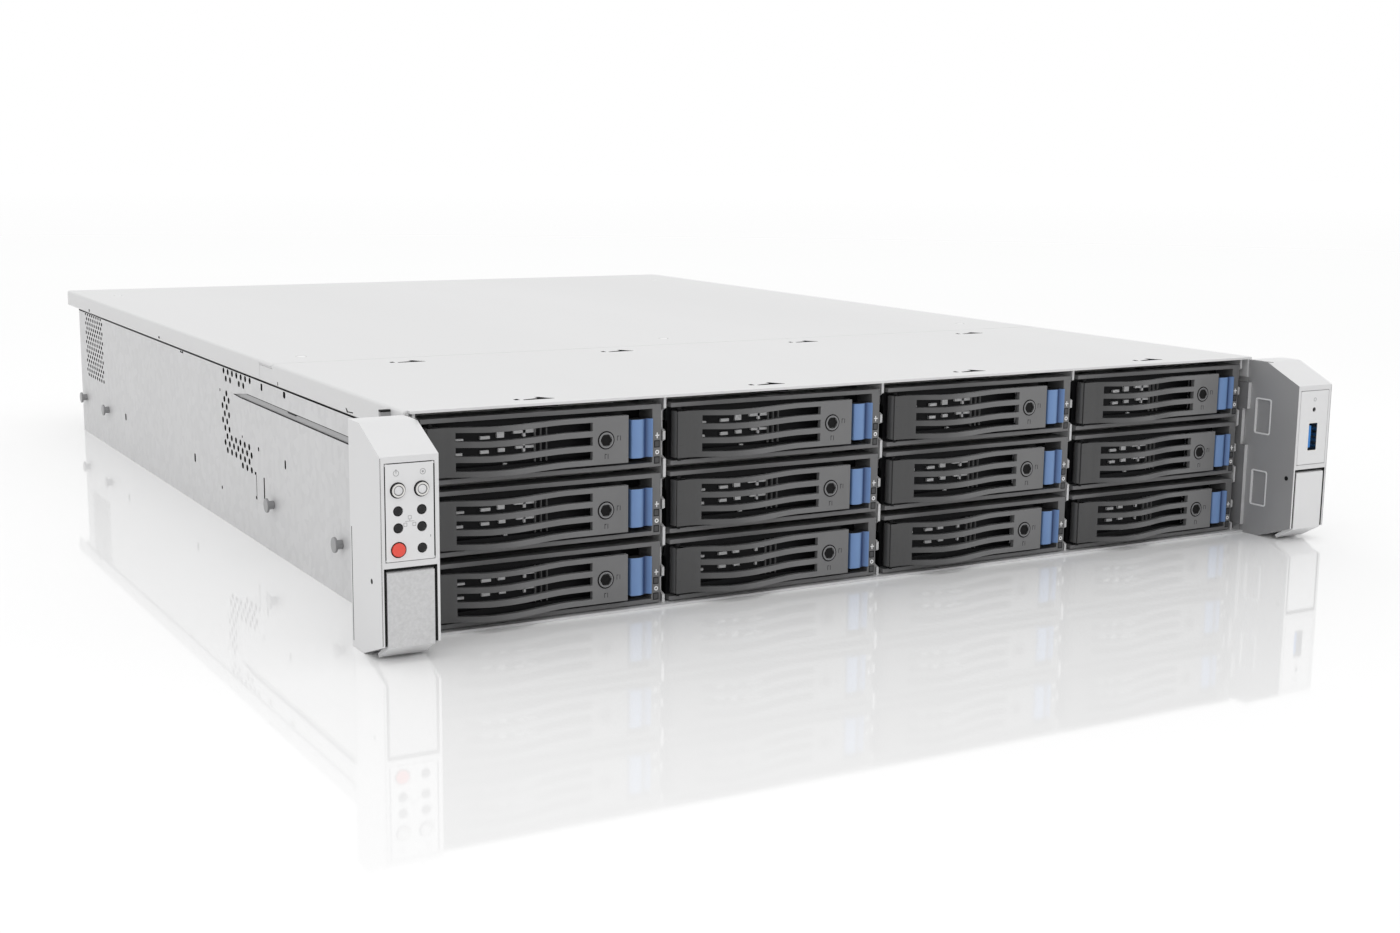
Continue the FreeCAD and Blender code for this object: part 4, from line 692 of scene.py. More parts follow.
def leverShape():
    bm = bmesh.new()
    addMesh(bm, leverPlate())
    pinX, pinY = lever["pin"]
    addRound(bm, (pinX, pinY, 3.4), (0, 0, 1), 19.1, [(0, 3.0), (0.25, 3.2), (18.85, 3.2), (19.1, 3.0)], 24)
    addBox(bm, (82.6, -1.2, 11.6), (84.2, 6.4, 14.6))                         # tongue behind the handle
    lockX, lockZ = lever["lock"]
    for face, outer, inner, steps, slot in ((-2.8, 3.7, 3.2, 32, 1), (-3.0, 3.2, 2.5, 32, 3),
                                            (-2.9, 2.5, 1.7, 6, 1)):
        addRing(bm, (lockX, face, lockZ), (0, 1, 0), 1.0, outer, inner, steps, slot)
    addRound(bm, (lockX, -2.74, lockZ), (0, 1, 0), 0.5, 2.25, 6, 1)
    for low, high in (((2.4, 8.5), (11.6, 8.65)), ((2.4, 17.9), (11.6, 18.05)), ((11.5, 8.5), (11.65, 18.05))):
        addBox(bm, (low[0], -2.72, low[1]), (high[0], -2.5, high[1]), 2)      # faint seam of an inlay
    for x, z in lever["marks"]:
        for step in (-0.8, 0.55):
            addBox(bm, (x + step, -2.76, z - 1.0), (x + step + 0.25, -2.5, z + 1.0), 2)
        addBox(bm, (x - 0.55, -2.76, z + 0.7), (x + 0.1, -2.5, z + 1.0), 2)
    return bm


def ribRow():
    # upright ribs at an even pitch, for grilles and fins
    tree, g = newTree("ribRow", [
        ("Count", "Int", 9), ("Pitch", "Float", 6.2), ("Wide", "Float", 0.9), ("Deep", "Float", 1.2),
        ("Tall", "Float", 15.0), ("First", "Vector", (0, 0, 0))])
    line = node(tree, "GeometryNodeMeshLine", Count=g["Count"], Start_Location=g["First"],
                Offset=spotOf(tree, X=g["Pitch"]))
    rib = node(tree, "GeometryNodeMeshCube", Size=spotOf(tree, X=g["Wide"], Y=g["Deep"], Z=g["Tall"]))
    placed = node(tree, "GeometryNodeInstanceOnPoints", Points=line.outputs["Mesh"],
                  Instance=rib.outputs["Mesh"])
    return finishTree(tree, placed.outputs["Instances"], wallPlasticAndShade)


ribs = ribRow()


def trayShape():
    bm = bmesh.new()
    wide, low, tall, rail, post = (bay[key] for key in ("across", "low", "tall", "rail", "post"))
    near, far = bay["inner"]
    left, right = lever["louvre"]
    opening = right + 5                                                       # hidden behind the lever's end
    frame = [(0, low), (wide, low), (wide, tall), (0, tall), (0, tall - rail), (post, tall - rail),
             (post, low + rail), (0, low + rail)]
    addPrism(bm, frame, "y", 0, bay["frame"])
    # the inner front, open behind the louvres and the lever's tongue
    for x, z in (((0, left), (0, tall)), ((opening, 81.4), (0, tall)), ((left, opening), (0, 5.2)),
                 ((left, opening), (20.9, tall)), ((81.4, 87.6), (0, 8.1)), ((81.4, 87.6), (18.1, tall))):
        addBox(bm, (x[0], near, z[0]), (x[1], far, z[1]), 1)
    addBox(bm, (0, near, low), (wide, 14, 1.9), 1)
    addBox(bm, (87.6, 11.2, 1.9), (post, 12.4, tall), 1)
    for x in (0, wide - 0.8):
        addBox(bm, (x, near, 0), (x + 0.8, bay["deep"], 18), 1)
    addMesh(bm, runTree(bpy.data.meshes.new("none"), ribs, {"Count": 3, "Pitch": 2.5, "Wide": 0.45,
                                                            "First": (49.4, 5.0, 13.0)}), slot=0)
    # painted shade: a black plate behind the louvres, where the tray's inside lies in shade
    addBox(bm, (left, 6.4, 3), (opening, 7.4, 23), 1)
    addRound(bm, (*lever["pin"], rail), (0, 0, 1), tall - 2 * rail, 1.0, 16, 1)
    for z in bay["windows"]:
        addBox(bm, (99.9, -0.06, z), (102.6, 0.3, z + 3.1), 1)                # lamp windows in dark frames
        addBox(bm, (100.3, -0.12, z + 0.4), (102.2, 0.3, z + 2.7), 2)
    addRing(bm, (101.4, -0.12, bay["ring"]), (0, 1, 0), 0.3, 0.95, 0.45, 12, 3)
    addBox(bm, (101.1, -0.12, bay["cross"] - 1.2), (101.6, 0.2, bay["cross"] + 1.2), 3)
    addBox(bm, (100.5, -0.12, bay["cross"] - 0.2), (102.4, 0.2, bay["cross"] + 0.3), 3)
    return bm


disk = {"low": 1.6, "top": 25.2, "plate": 26.0,
        "screws": ((8, 20), (95, 20), (8, 154), (95, 154), (88, 84), (11, 84)),
        # bright edges of its circuit seen through the louvres: from and to across, from and to up
        "glints": ((13.5, 19.5, 15.6, 16.5), (13.5, 14.4, 15.6, 18.7), (26.5, 30.5, 15.7, 16.9),
                   (33.5, 36.5, 15.9, 18.1), (40.5, 50.0, 17.1, 18.5), (44.5, 45.6, 15.7, 18.7),
                   (13.5, 19.0, 9.9, 10.9), (26.5, 30.0, 10.1, 11.3), (34, 36.8, 10.3, 11.7),
                   (41.5, 49.5, 11.1, 12.1), (44.5, 45.4, 9.7, 13.0), (36, 37.6, 4.9, 5.7))}


def driveShape():
    # the disk in its tray, a cast body with a cover plate, screws and a board below
    bm = bmesh.new()
    addBox(bm, (0.8, 14.3, disk["low"]), (102.4, 161, disk["top"]), 4)
    plate = [(5, 17), (98, 17), (98, 60), (84, 84), (98, 108), (98, 157), (5, 157), (5, 108), (14, 84), (5, 60)]
    addPrism(bm, plate, "z", disk["top"], disk["plate"], 6)
    addBox(bm, (4, 16, 0.3), (99, 150, disk["low"]), 7)
    for x, y in disk["screws"]:
        addRound(bm, (x, y, disk["plate"] - 0.1), (0, 0, 1), 0.2, [(0, 2.2), (0.12, 2.2), (0.2, 1.8)], 12, 6)
    for x0, x1, z0, z1 in disk["glints"]:
        addBox(bm, (x0, 5.2, z0), (x1, 6.4, z1), 8)
        addBox(bm, (x0, 7.4, z0), (x1, 14.4, z1), 4)
    return bm


tab = {"left": 88.6, "right": 98.8, "low": 4.6, "high": 20.4, "front": -1.75, "back": 3.2, "crown": 0.45,
       "groove": 1.25, "chamfer": 0.5}


def buttonShape():
    # a thumb scoop runs down the face: a crown on the left, a soft groove, and a lip
    bm = bmesh.new()
    outline = []
    for i in range(25):
        t = i / 24
        swell = tab["front"] - tab["crown"] * math.sin(math.pi * min(1, t / 0.62))
        groove = tab["groove"] * math.exp(-((t - 0.72) / 0.13) ** 2)
        end = tab["chamfer"] if t in (0, 1) else 0
        outline.append((tab["left"] + (tab["right"] - tab["left"]) * t, swell + groove + end))
    outline += [(tab["right"], tab["back"]), (tab["left"], tab["back"])]
    addPrism(bm, outline, "z", tab["low"], tab["high"])
    # painted shade: the tab's upward faces, in the shade of its pocket, get the black
    for face in bm.faces:
        if face.normal.z > 0.5:
            face.material_index = 1
    addBox(bm, (90.6, tab["back"], 9), (96.8, 8.0, 16), 1)
    return bm


leverData, trayData = meshOf("leverData", leverShape()), meshOf("trayData", trayShape())
driveData, buttonData = meshOf("driveData", driveShape()), meshOf("buttonData", buttonShape())
trayFinishes = [trayPlastic, wallPlasticAndShade, windowGrey, inkWhiteAndHighlight, castMetal, ironBlackAndShade, nickel, boardGreen,
                sheetZinc]
leverFinishes = [leverPlastic, socketBlackAndShade, ironBlackAndShade, lockGrey, trayPlastic]
for number in range(1, 13):
    label = "%02d" % number
    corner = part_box("drive_tray_" + label)[0] / mm
    for name, data, finishes, body, parts, finish in (
            ("trayFrame", trayData, trayFinishes, "tray_", ["drive_tray_"], {"bevel": 0.25}),
            ("diskDrive", driveData, trayFinishes, "tray_", [], {}),
            ("swingLever", leverData, leverFinishes, "lever_", ["drive_lever_"], {"bevel": 0.2, "angle": 50}),
            ("releaseTab", buttonData, [tabBlue, ironBlackAndShade], "release_", ["release_button_"],
             {"bevel": 0.35, "smooth": 45})):
        bm = bmesh.new()
        addMesh(bm, data, Matrix.Translation((corner[0], 0, corner[2])))
        settle(name + label, bm, finishes, body + label, [part + label for part in parts],
               **{"smooth": 40, **finish})
print("twelve bays done")

# ---- repeats made with nodes: heads on points, and copies turned about an axis


def headTree():
    # a mushroom head with its shank on every point of the mesh
    tree, g = newTree("headOnPoints", [
        ("Radius", "Float", 3.3), ("Height", "Float", 1.1), ("Shank", "Float", 2.0), ("Length", "Float", 2.7),
        ("Tilt", "Vector", (0, 0, 0))])
    lift = spotOf(tree, Z=reckon(tree, "MULTIPLY_ADD", g["Height"], 0.5, g["Length"]))
    cap = node(tree, "GeometryNodeMeshCylinder", Vertices=28, Radius=g["Radius"], Depth=g["Height"])
    capUp = node(tree, "GeometryNodeTransform", Geometry=cap.outputs["Mesh"], Translation=lift)
    stem = node(tree, "GeometryNodeMeshCylinder", Vertices=16, Radius=g["Shank"], Depth=g["Length"])
    halfUp = spotOf(tree, Z=reckon(tree, "MULTIPLY", g["Length"], 0.5))
    stemUp = node(tree, "GeometryNodeTransform", Geometry=stem.outputs["Mesh"], Translation=halfUp)
    placed = node(tree, "GeometryNodeInstanceOnPoints", Points=g["Geometry"], Rotation=g["Tilt"],
                  Instance=joined(tree, capUp.outputs["Geometry"], stemUp.outputs["Geometry"]))
    return finishTree(tree, placed.outputs["Instances"], studSteel)


def turnTree():
    # copies of the mesh turned evenly about the Y axis
    tree, g = newTree("turnedCopies", [("Count", "Int", 7)])
    line = node(tree, "GeometryNodeMeshLine", Count=g["Count"], Offset=(0, 0, 0), Start_Location=(0, 0, 0))
    index = node(tree, "GeometryNodeInputIndex").outputs[0]
    angle = reckon(tree, "MULTIPLY", reckon(tree, "DIVIDE", index, g["Count"]), 2 * math.pi)
    placed = node(tree, "GeometryNodeInstanceOnPoints", Points=line.outputs["Mesh"], Instance=g["Geometry"],
                  Rotation=spotOf(tree, Y=angle))
    return finishTree(tree, placed.outputs["Instances"], ironBlackAndShade)


def pointMesh(points):
    mesh = bpy.data.meshes.new("points")
    mesh.from_pydata(points, [], [])
    return mesh


heads, turned = headTree(), turnTree()
stud = {"along": (72, 166, 503, 566), "high": 22.5}
bm = bmesh.new()
for side in (-1, 1):
    spots = [(side * halfWide, y, stud["high"]) for y in stud["along"]]
    addMesh(bm, runTree(pointMesh(spots), heads, {"Tilt": (0, side * math.pi / 2, 0)}))
settle("railStuds", bm, [studSteel], "chassis", ["rail_studs"], bevel=0.2, angle=50)

# ---- drive cage: dividers with stepped front edges, and shelves
cage = {"thick": 1.2, "front": 1.0, "rear": 166, "low": 1.0, "top": 86.5, "shelf": 0.8}
edgeSteps = [(0, 0), (0, 3.2), (3.2, 4.4), (3.2, 9.8), (0.6, 11), (0.6, 14.5), (3.2, 15.6), (3.2, 22.4),
             (0, 24)]
edge = [(cage["front"] + y, cage["low"] + row * rowPitch + z) for row in range(3) for y, z in edgeSteps]
edge += [(cage["front"], cage["top"]), (cage["rear"], cage["top"]), (cage["rear"], cage["low"])]
bm = bmesh.new()
for wall in range(5):
    middle = (wall - 2) * bayPitch
    addPrism(bm, edge, "x", middle - cage["thick"] / 2, middle + cage["thick"] / 2)
for column in range(4):
    left = (column - 2) * bayPitch + cage["thick"] / 2
    right = (column - 1) * bayPitch - cage["thick"] / 2
    for row in (1, 2):
        low = cage["low"] + row * rowPitch - cage["shelf"]
        # shelves between the rows, in painted shade
        addBox(bm, (left, 6, low), (right, cage["rear"], low + cage["shelf"]), 1)
settle("cageDividers", bm, [sheetZinc, insideShade], "chassis", ["drive_cage"], smooth=30)

# ---- backplane with its sockets and air openings
back = {"face": 167.6, "thick": 1.6, "opening": (58, 98, 6, 81.5), "socket": (12, 48), "lowest": 4.2}
bayLeft = [(column - 2) * bayPitch + 2.2 for column in range(4)]
x0, x1, z0, z1 = back["opening"]
openings = [roundedLoop((left + x0, z0), (left + x1, z1), 3) for left in bayLeft]
plate = perforatedSheet("backplaneSheet", [oblong((-215, 215), (1, 86.5))] + openings, [], back["thick"],
                        boardGreen)
bm = bmesh.new()
addMesh(bm, plate, rearWall(back["face"]))
x0, x1 = back["socket"]
for left in bayLeft:
    for row in range(3):
        low = back["lowest"] + row * rowPitch
        addBox(bm, (left + x0, 161.6, low), (left + x1, 166, low + 6), 1)
        addBox(bm, (left + x0 + 2, 161.4, low + 2.4), (left + x1 - 2, 162, low + 3.6), 2)
settle("backplane", bm, [boardGreen, socketBlackAndShade, nickel], "chassis", ["drive_backplane"])
print("cage done")

# ---- fans
fan = {"across": (-130, 0, 130), "middle": 41, "front": 185, "deep": 38, "half": 40, "bore": 38.4, "hub": 18,
       "tip": 36.6, "blades": 7, "rotor": 191}
wallLoops = [oblong((-217.6, 217.6), (1, pan["flangeTop"]))]
wallLoops += [oblong((x - 38, x + 38), (3, 79)) for x in fan["across"]]
wallSheet = perforatedSheet("fanWallSheet", wallLoops, [], 1, innerZinc)
shellLoops = [roundedLoop((-fan["half"], -fan["half"]), (fan["half"], fan["half"]), 4),
              circleLoop(0, 0, fan["bore"], 48)]
shell = perforatedSheet("fanShell", shellLoops, [], fan["deep"], ironBlackAndShade)
bm = bmesh.new()
addMesh(bm, wallSheet, rearWall(fan["front"]))
arm = bmesh.new()
addBox(arm, (-2, 0, 16), (2, 3, 39))
arms = runTree(meshOf("armMesh", arm), turned, {"Count": 4})
for x in fan["across"]:
    addMesh(bm, shell, rearWall(fan["front"] + fan["deep"]) @ Matrix.Translation((x, fan["middle"], 0)), 1)
    addMesh(bm, arms, Matrix.Translation((x, 220, fan["middle"])), 1)
    addRound(bm, (x, 215.4, fan["middle"]), (0, 1, 0), 7.6, fan["hub"], 32, 1)
settle("fanHousings", bm, [innerZinc, ironBlackAndShade], "chassis", ["fan_frame"])
# a blade is steeper at the hub than at its tip
blade = bmesh.new()
rings = []
for k in range(7):
    reach = fan["hub"] - 1 + (fan["tip"] - fan["hub"] + 1) * k / 6
    pitch = math.radians(52 - 20 * k / 6)
    row = []
    for t in (-1, -0.4, 0.3, 1):
        x, y = math.cos(pitch) * 11.5 * t * 0.9 + 1.6 * (1 - t * t), math.sin(pitch) * 11.5 * t + 12
        row.append(blade.verts.new((x, y, math.sqrt(max(reach ** 2 - x ** 2, 1)))))
    rings.append(row)
for a, b in zip(rings, rings[1:]):
    for i in range(3):
        blade.faces.new((a[i], a[i + 1], b[i + 1], b[i]))
bmesh.ops.solidify(blade, geom=blade.faces[:], thickness=1.2)
blades = runTree(meshOf("bladeMesh", blade), turned, {"Count": fan["blades"]})
for index, x in enumerate(fan["across"], 1):
    bm = bmesh.new()
    addMesh(bm, blades, Matrix.Translation((x, fan["rotor"], fan["middle"])), 0)
    hub = [(0, fan["hub"] - 2.5), (1.6, fan["hub"] - 0.4), (3.2, fan["hub"]), (24, fan["hub"])]
    addRound(bm, (x, fan["rotor"], fan["middle"]), (0, 1, 0), 24, hub, 40)
    addRound(bm, (x, fan["rotor"] - 1.8, fan["middle"]), (0, 1, 0), 1.9, 3.9, 24)
    settle("fanRotor%d" % index, bm, [ironBlackAndShade], "rotor_%d" % index, ["fan_rotor_%d" % index])
print("fans done")

# ---- heat sinks, and the CAD pieces that are kept with better materials
sink = {"across": (-80, 55), "wide": 80, "front": 310, "deep": 90, "low": 15.6, "base": 5, "top": 73.4,
        "fins": 26, "fin": 0.6}
bm = bmesh.new()
for x in sink["across"]:
    left = x - sink["wide"] / 2
    finLow = sink["low"] + sink["base"] - 0.4
    addBox(bm, (left, sink["front"], sink["low"]),
           (left + sink["wide"], sink["front"] + sink["deep"], sink["low"] + sink["base"]))
    fins = runTree(bpy.data.meshes.new("none"), ribs, {
        "Count": sink["fins"], "Wide": sink["fin"], "Pitch": (sink["wide"] - sink["fin"]) / (sink["fins"] - 1),
        "Deep": sink["deep"] - 0.2, "Tall": sink["top"] - finLow,
        "First": (left + sink["fin"] / 2, sink["front"] + sink["deep"] / 2, (sink["top"] + finLow) / 2)})
    addMesh(bm, fins, slot=0)
settle("finStacks", bm, [castMetal], "chassis", ["heat_sinks"], smooth=30)
for slot in frame["nodes"]["memory_modules"].material_slots:
    slot.material = boardGreen
# ---- mainboard, less the ports that are made again in metal
bm = cadCopy("mainboard")
solids, left = [], set(bm.verts)
while left:
    solids.append(solidAt(next(iter(left))))
    left -= solids[-1]
for solid in solids:
    heights = [vert.co.z for vert in solid]
    if max(vert.co.y for vert in solid) > pan["rear"] - 0.5:
        bmesh.ops.delete(bm, geom=list(solid), context="VERTS")
    else:
        for face in {face for vert in solid for face in vert.link_faces}:
            face.material_index = 0 if max(heights) - min(heights) < 3 else 1
settle("systemBoard", bm, [boardGreen, socketBlackAndShade], "chassis", ["mainboard"], smooth=30)

# ---- rear ports
ports = {"left": (-22, 10, 42, 74), "wide": 28, "low": 9.6, "high": 13, "face": 579.2}
bm = bmesh.new()
for index, left in enumerate(ports["left"]):
    right, low, high = left + ports["wide"], ports["low"], ports["low"] + ports["high"]
    if index == 0:
        holes = [[(left + 5, 12.2), (right - 5, 12.2), (right - 3.8, 20), (left + 3.8, 20)]]
        plug = [(left + 5.6, 12.8), (right - 5.6, 12.8), (right - 4.6, 19.4), (left + 4.6, 19.4)]
    else:
        holes = [oblong((start, start + 11.7), (11, 21.2)) for start in (left + 1.5, left + 14.8)]
    face = perforatedSheet("portFace%d" % index, [oblong((left, right), (low, high))] + holes, [], 6, nickel)
    addMesh(bm, face, rearWall(ports["face"]))
    addBox(bm, (left + 0.4, 560, low + 0.3), (right - 0.4, 573.2, high - 0.3), 1)
    if index == 0:
        addPrism(bm, plug, "y", 572, 578.6, 2)
settle("rearPorts", bm, [nickel, socketBlackAndShade, usbBlue], "chassis", smooth=30)

# ---- power supplies
psu = {"left": 142.5, "right": 216, "front": 393, "face": 579, "tall": 39, "low": (1.2, 41.8), "fanX": 164.5,
       "fanR": 17, "inlet": (186.5, 210.5, 8.5), "guard": (5, 8.6, 12.2, 15.8), "handle": (145.5, 183.5, 603)}
for unit, low in enumerate(psu["low"], 1):
    bm = bmesh.new()
    middle, behind = low + psu["tall"] / 2, psu["face"] - 5.5
    inLeft, inRight, inHalf = psu["inlet"]
    addBox(bm, (psu["left"], psu["front"], low), (psu["right"], behind, low + psu["tall"]))
    faceLoops = [oblong((psu["left"], psu["right"]), (low, low + psu["tall"])),
                 circleLoop(psu["fanX"], middle, psu["fanR"], 40),
                 roundedLoop((inLeft, middle - inHalf), (inRight, middle + inHalf), 2.5)]
    addMesh(bm, perforatedSheet("psuFace%d" % unit, faceLoops, [], 5.5, innerZinc), rearWall(psu["face"]))
    for radius in psu["guard"]:
        addRing(bm, (psu["fanX"], psu["face"] - 1, middle), (0, 1, 0), 0.8, radius + 0.5, radius - 0.5, 36, 2)
    for turn in (45, 135):
        spoke = bmesh.new()
        addBox(spoke, (-16.8, 0, -0.5), (16.8, 0.8, 0.5), 2)
        place = Matrix.Translation((psu["fanX"], psu["face"] - 1.6, middle))
        addMesh(bm, meshOf("spoke", spoke), place @ Matrix.Rotation(math.radians(turn), 4, "Y"))
    addRound(bm, (psu["fanX"], behind - 0.1, middle), (0, 1, 0), 3.0, [(0, 6.4), (2.4, 6.2), (3, 5.4)], 28, 1)
    addBox(bm, (inLeft + 0.3, 563.0, middle - inHalf + 0.3),
           (inRight - 0.3, behind + 0.1, middle + inHalf - 0.3), 1)
    for step, lift in ((0, -2), (6.5, 2.4), (13, -2)):
        x = inLeft + 4.6 + step                                               # blades of the inlet
        addBox(bm, (x, behind - 0.5, middle + lift - 2), (x + 2, psu["face"] - 1, middle + lift + 2), 2)
    left, right, end = psu["handle"]
    bar = [(left, psu["face"]), (left, end - 1), (left + 1, end), (right - 1, end), (right, end - 1),
           (right, psu["face"]), (right - 5, psu["face"]), (right - 5, end - 5), (left + 5, end - 5),
           (left + 5, psu["face"])]
    addPrism(bm, bar, "z", middle - 1.5, middle + 1.5, 1)
    addRound(bm, (213, psu["face"], middle + 14), (0, 1, 0), 0.25, [(0, 1.3), (0.25, 1.0)], 16, 3)
    settle("powerSupply%d" % unit, bm, [innerZinc, ironBlackAndShade, nickel, tabBlue], "psu_%d" % unit,
           ["power_supply_%d" % unit], bevel=0.25, angle=60)
print("rear pieces done")

# ---- ears
ear = {"middle": 230.15, "panel": (18.6, 38.2, 73.8), "face": -33}
flapFit = {"narrow": 0.925, "top": 34.7, "chin": 6.4, "opening": 10.2, "edge": 0.85, "low": 7.2, "high": 35.8}
rackScrew = {"high": 21.4, "tip": -19, "head": -28}
cheekFrames = {"low": (15.5, 51.0), "tall": 16.4, "along": (-15.9, -7.1), "rim": 0.7}
for side, sign in (("left", -1), ("right", 1)):
    x = sign * ear["middle"]
    bm = cadCopy(side + "_ear", near=(x + sign * 11.1, -0.5, 86))
    for face in bm.faces:
        if side == "right" and face.normal.x < -0.9 and face.calc_center_median().x < 221:
            face.material_index = 1                     # the cheek beside the trays gets painted shade: the ear's paint darkened where it lies in shade
    settle(side + "EarCasting", bm, [earPaint, cheekShade], "chassis", [side + "_ear"], bevel=0.7, segments=3,
           angle=25)
    bm = cadCopy(side + "_ear", near=(sign * 217, 40, 75))
    # painted shade on every face of the bracket that does not look forward
    for face in bm.faces:
        face.material_index = 0 if face.normal.y < -0.9 else 1
    settle(side + "EarBracket", bm, [sheetZinc, insideShade], "chassis")
    high, head = rackScrew["high"], rackScrew["head"]
    bm = bmesh.new()
    addRound(bm, (x, rackScrew["tip"], high), (0, 1, 0), 18.4, 2.3, 20)
    addRound(bm, (x, head, high), (0, 1, 0), 9, [(0, 3.2), (0.5, 4.0), (8.4, 4.0), (9, 3.6)], 28)
    addBox(bm, (x - 0.5, head - 0.2, high - 2.8), (x + 0.5, head + 0.3, high + 2.8), 1)     # cross slot
    addBox(bm, (x - 2.8, head - 0.2, high - 0.5), (x + 2.8, head + 0.3, high + 0.5), 1)
    addRound(bm, (x - 10.2, -30.6, 33), (1, 0, 0), 20.4, 0.9, 16)
    settle(side + "RackScrew", bm, [nickel, socketBlackAndShade], "chassis")
    bm = cadCopy(side + "_flap")
    for vert in bm.verts:
        vert.co.x = x + (vert.co.x - x) * flapFit["narrow"]
        vert.co.z = min(vert.co.z, flapFit["top"])
    bm.normal_update()
    for face in bm.faces:
        face.material_index = 1 if face.calc_center_median().z < flapFit["chin"] else 0
    face = flapPaint if side == "left" else panelPaint
    settle(side + "FlapCover", bm, [face, earPaint], side + "_flap_body", [side + "_flap"], bevel=0.45,
           segments=3, angle=30)

bm = bmesh.new()
half, edge, low, high = (flapFit[key] for key in ("opening", "edge", "low", "high"))
for outer in (-1, 1):
    # black strips of painted shade in the gap that runs round a flap, and the seams of the ear's outer side
    x = outer * ear["middle"]
    for x0, x1, z0 in ((x - half, x - half + edge, low), (x + half - edge, x + half, low),
                       (x - half, x + half, 34.9)):
        addBox(bm, (x0, -32.7, z0), (x1, -31.6, high), 1)
    addRound(bm, (x + outer * 10.95, -32.8, 7.4), (0, 0, 1), 68.6, 0.22, 10, 1)
    slit = sorted((x + outer * 11.0, x + outer * 11.19))
    addBox(bm, (slit[0], -2.3, 2.5), (slit[1], -1.8, 46), 1)
    addBox(bm, (x - outer * 10.7 - 0.15, -15.5, 85.9), (x - outer * 10.7 + 0.15, -1.0, 86.06), 1)
near, far = cheekFrames["along"]
rim, tall = cheekFrames["rim"], cheekFrames["tall"]
for low in cheekFrames["low"]:
    frameLoops = [roundedLoop((near - rim, low - 0.6), (far + rim, low + tall + rim), 1.2),
                  roundedLoop((near, low), (far, low + tall), 0.9)]
    addMesh(bm, perforatedSheet("cheekFrame", frameLoops, [], 0.25, panelPaint), sideWall(218.85))
addRound(bm, (219.1, -28.7, 31.2), (-1, 0, 0), 0.2, 1.1, 16, 1)               # small holes in the ears' sides
addRound(bm, (-241.2, -22.8, 29.4), (-1, 0, 0), 0.15, 1.0, 16, 1)
settle("earMarks", bm, [panelPaint, socketBlackAndShade], "chassis")

# ---- control panel with its lamps, icons and keys
column = (-ear["middle"] - 4.5, -ear["middle"] + 4.5)
keyAt = {"power_button": (column[0], 64.1), "identify_button": (column[1], 64.1),
         "service_button": (column[0], 42.4)}
lampAt = [(column[0], 56.5), (column[1], 56.5), (column[0], 50.3), (column[1], 50.3), (column[1], 42.4)]
wide, low, high = ear["panel"]
left, right = -ear["middle"] - wide / 2, -ear["middle"] + wide / 2
loops = [roundedLoop((left, low), (right, high), 0.6)]
loops += [circleLoop(x, z, 2.8) for x, z in keyAt.values()]
loops += [circleLoop(x, z, 1.9, 20) for x, z in lampAt]
bm = bmesh.new()
addMesh(bm, perforatedSheet("controlSheet", loops, [], 1.2, panelPaint), rearWall(-31.8))
addBox(bm, (-238.4, -25.4, low + 1), (-221.9, -23.8, high - 1), 3)
dome = [(0, 1.8), (0.7, 1.75), (1.15, 1.35), (1.4, 0.8), (1.5, 0.3)]
for x, z in lampAt:
    addRound(bm, (x, -31.9, z), (0, -1, 0), 1.5, dome, 20, 1)
for x, z in keyAt.values():
    addRing(bm, (x, -31.7, z), (0, -1, 0), 1.33, 2.95, 2.65, 28, 3)
for x, seam in ((left, 0.28), (right, 0.5)):
    addBox(bm, (x - seam / 2, -33.01, low + 0.8), (x + seam / 2, -31.9, high - 0.8), 3)
addBox(bm, (left + 0.8, -33.01, high - 0.1), (right - 0.8, -31.9, high + 0.15), 3)
icons = {"power": (-235.2, 70.3), "identify": (-225.1, 70.3),
         "net": ((-230.3, 54.0), (-232.0, 51.4), (-228.6, 51.4))}


def inkRing(bm, x, z, outer, inner, steps=20, phase=0):
    addRing(bm, (x, ear["face"], z), (0, -1, 0), 0.05, outer, inner, steps, 2, phase)


def inkBar(bm, x, z):
    addBox(bm, (x[0], ear["face"] - 0.05, z[0]), (x[1], ear["face"] + 0.05, z[1]), 2)


for name in ("power", "identify"):
    inkRing(bm, *icons[name], 1.1, 0.9)
inkBar(bm, (-235.32, -235.08), (70.2, 71.8))
addRound(bm, (icons["identify"][0], ear["face"], icons["identify"][1]), (0, -1, 0), 0.05, 0.4, 12, 2)
for x, z in icons["net"]:
    inkRing(bm, x, z, 0.95, 0.72, 4, math.pi / 4)                             # three linked boxes
for x, z in (((-230.4, -230.2), (52.6, 53.4)), ((-232.0, -228.6), (52.5, 52.65)),
             ((-222.6, -222.3), (46.2, 47.0))):
    inkBar(bm, x, z)
settle("controlPanel", bm, [panelPaint, lampDark, inkGrey, socketBlackAndShade], "chassis", ["control_panel"],
       smooth=30)
for name, (x, z) in keyAt.items():
    bm = bmesh.new()
    red = name == "service_button"
    if red:
        addRound(bm, (x, -27, z), (0, -1, 0), 7, [(0, 2.55), (6.3, 2.55), (6.8, 2.35), (7.0, 1.9)], 32)
    else:
        # a dark sleeve, a bright collar and a white cap
        addRound(bm, (x, -27, z), (0, -1, 0), 6.7, 2.55, 32, 2)
        addRing(bm, (x, -33.6, z), (0, -1, 0), 0.4, 2.45, 1.85, 32, 1)
        addRound(bm, (x, -33.5, z), (0, -1, 0), 0.5, [(0, 1.5), (0.35, 1.5), (0.5, 1.25)], 28)
    cap = keyRed if red else keyWhite
    settle(name.replace("_b", "B"), bm, [cap, nickel, lockGrey], name + "_body", [name])

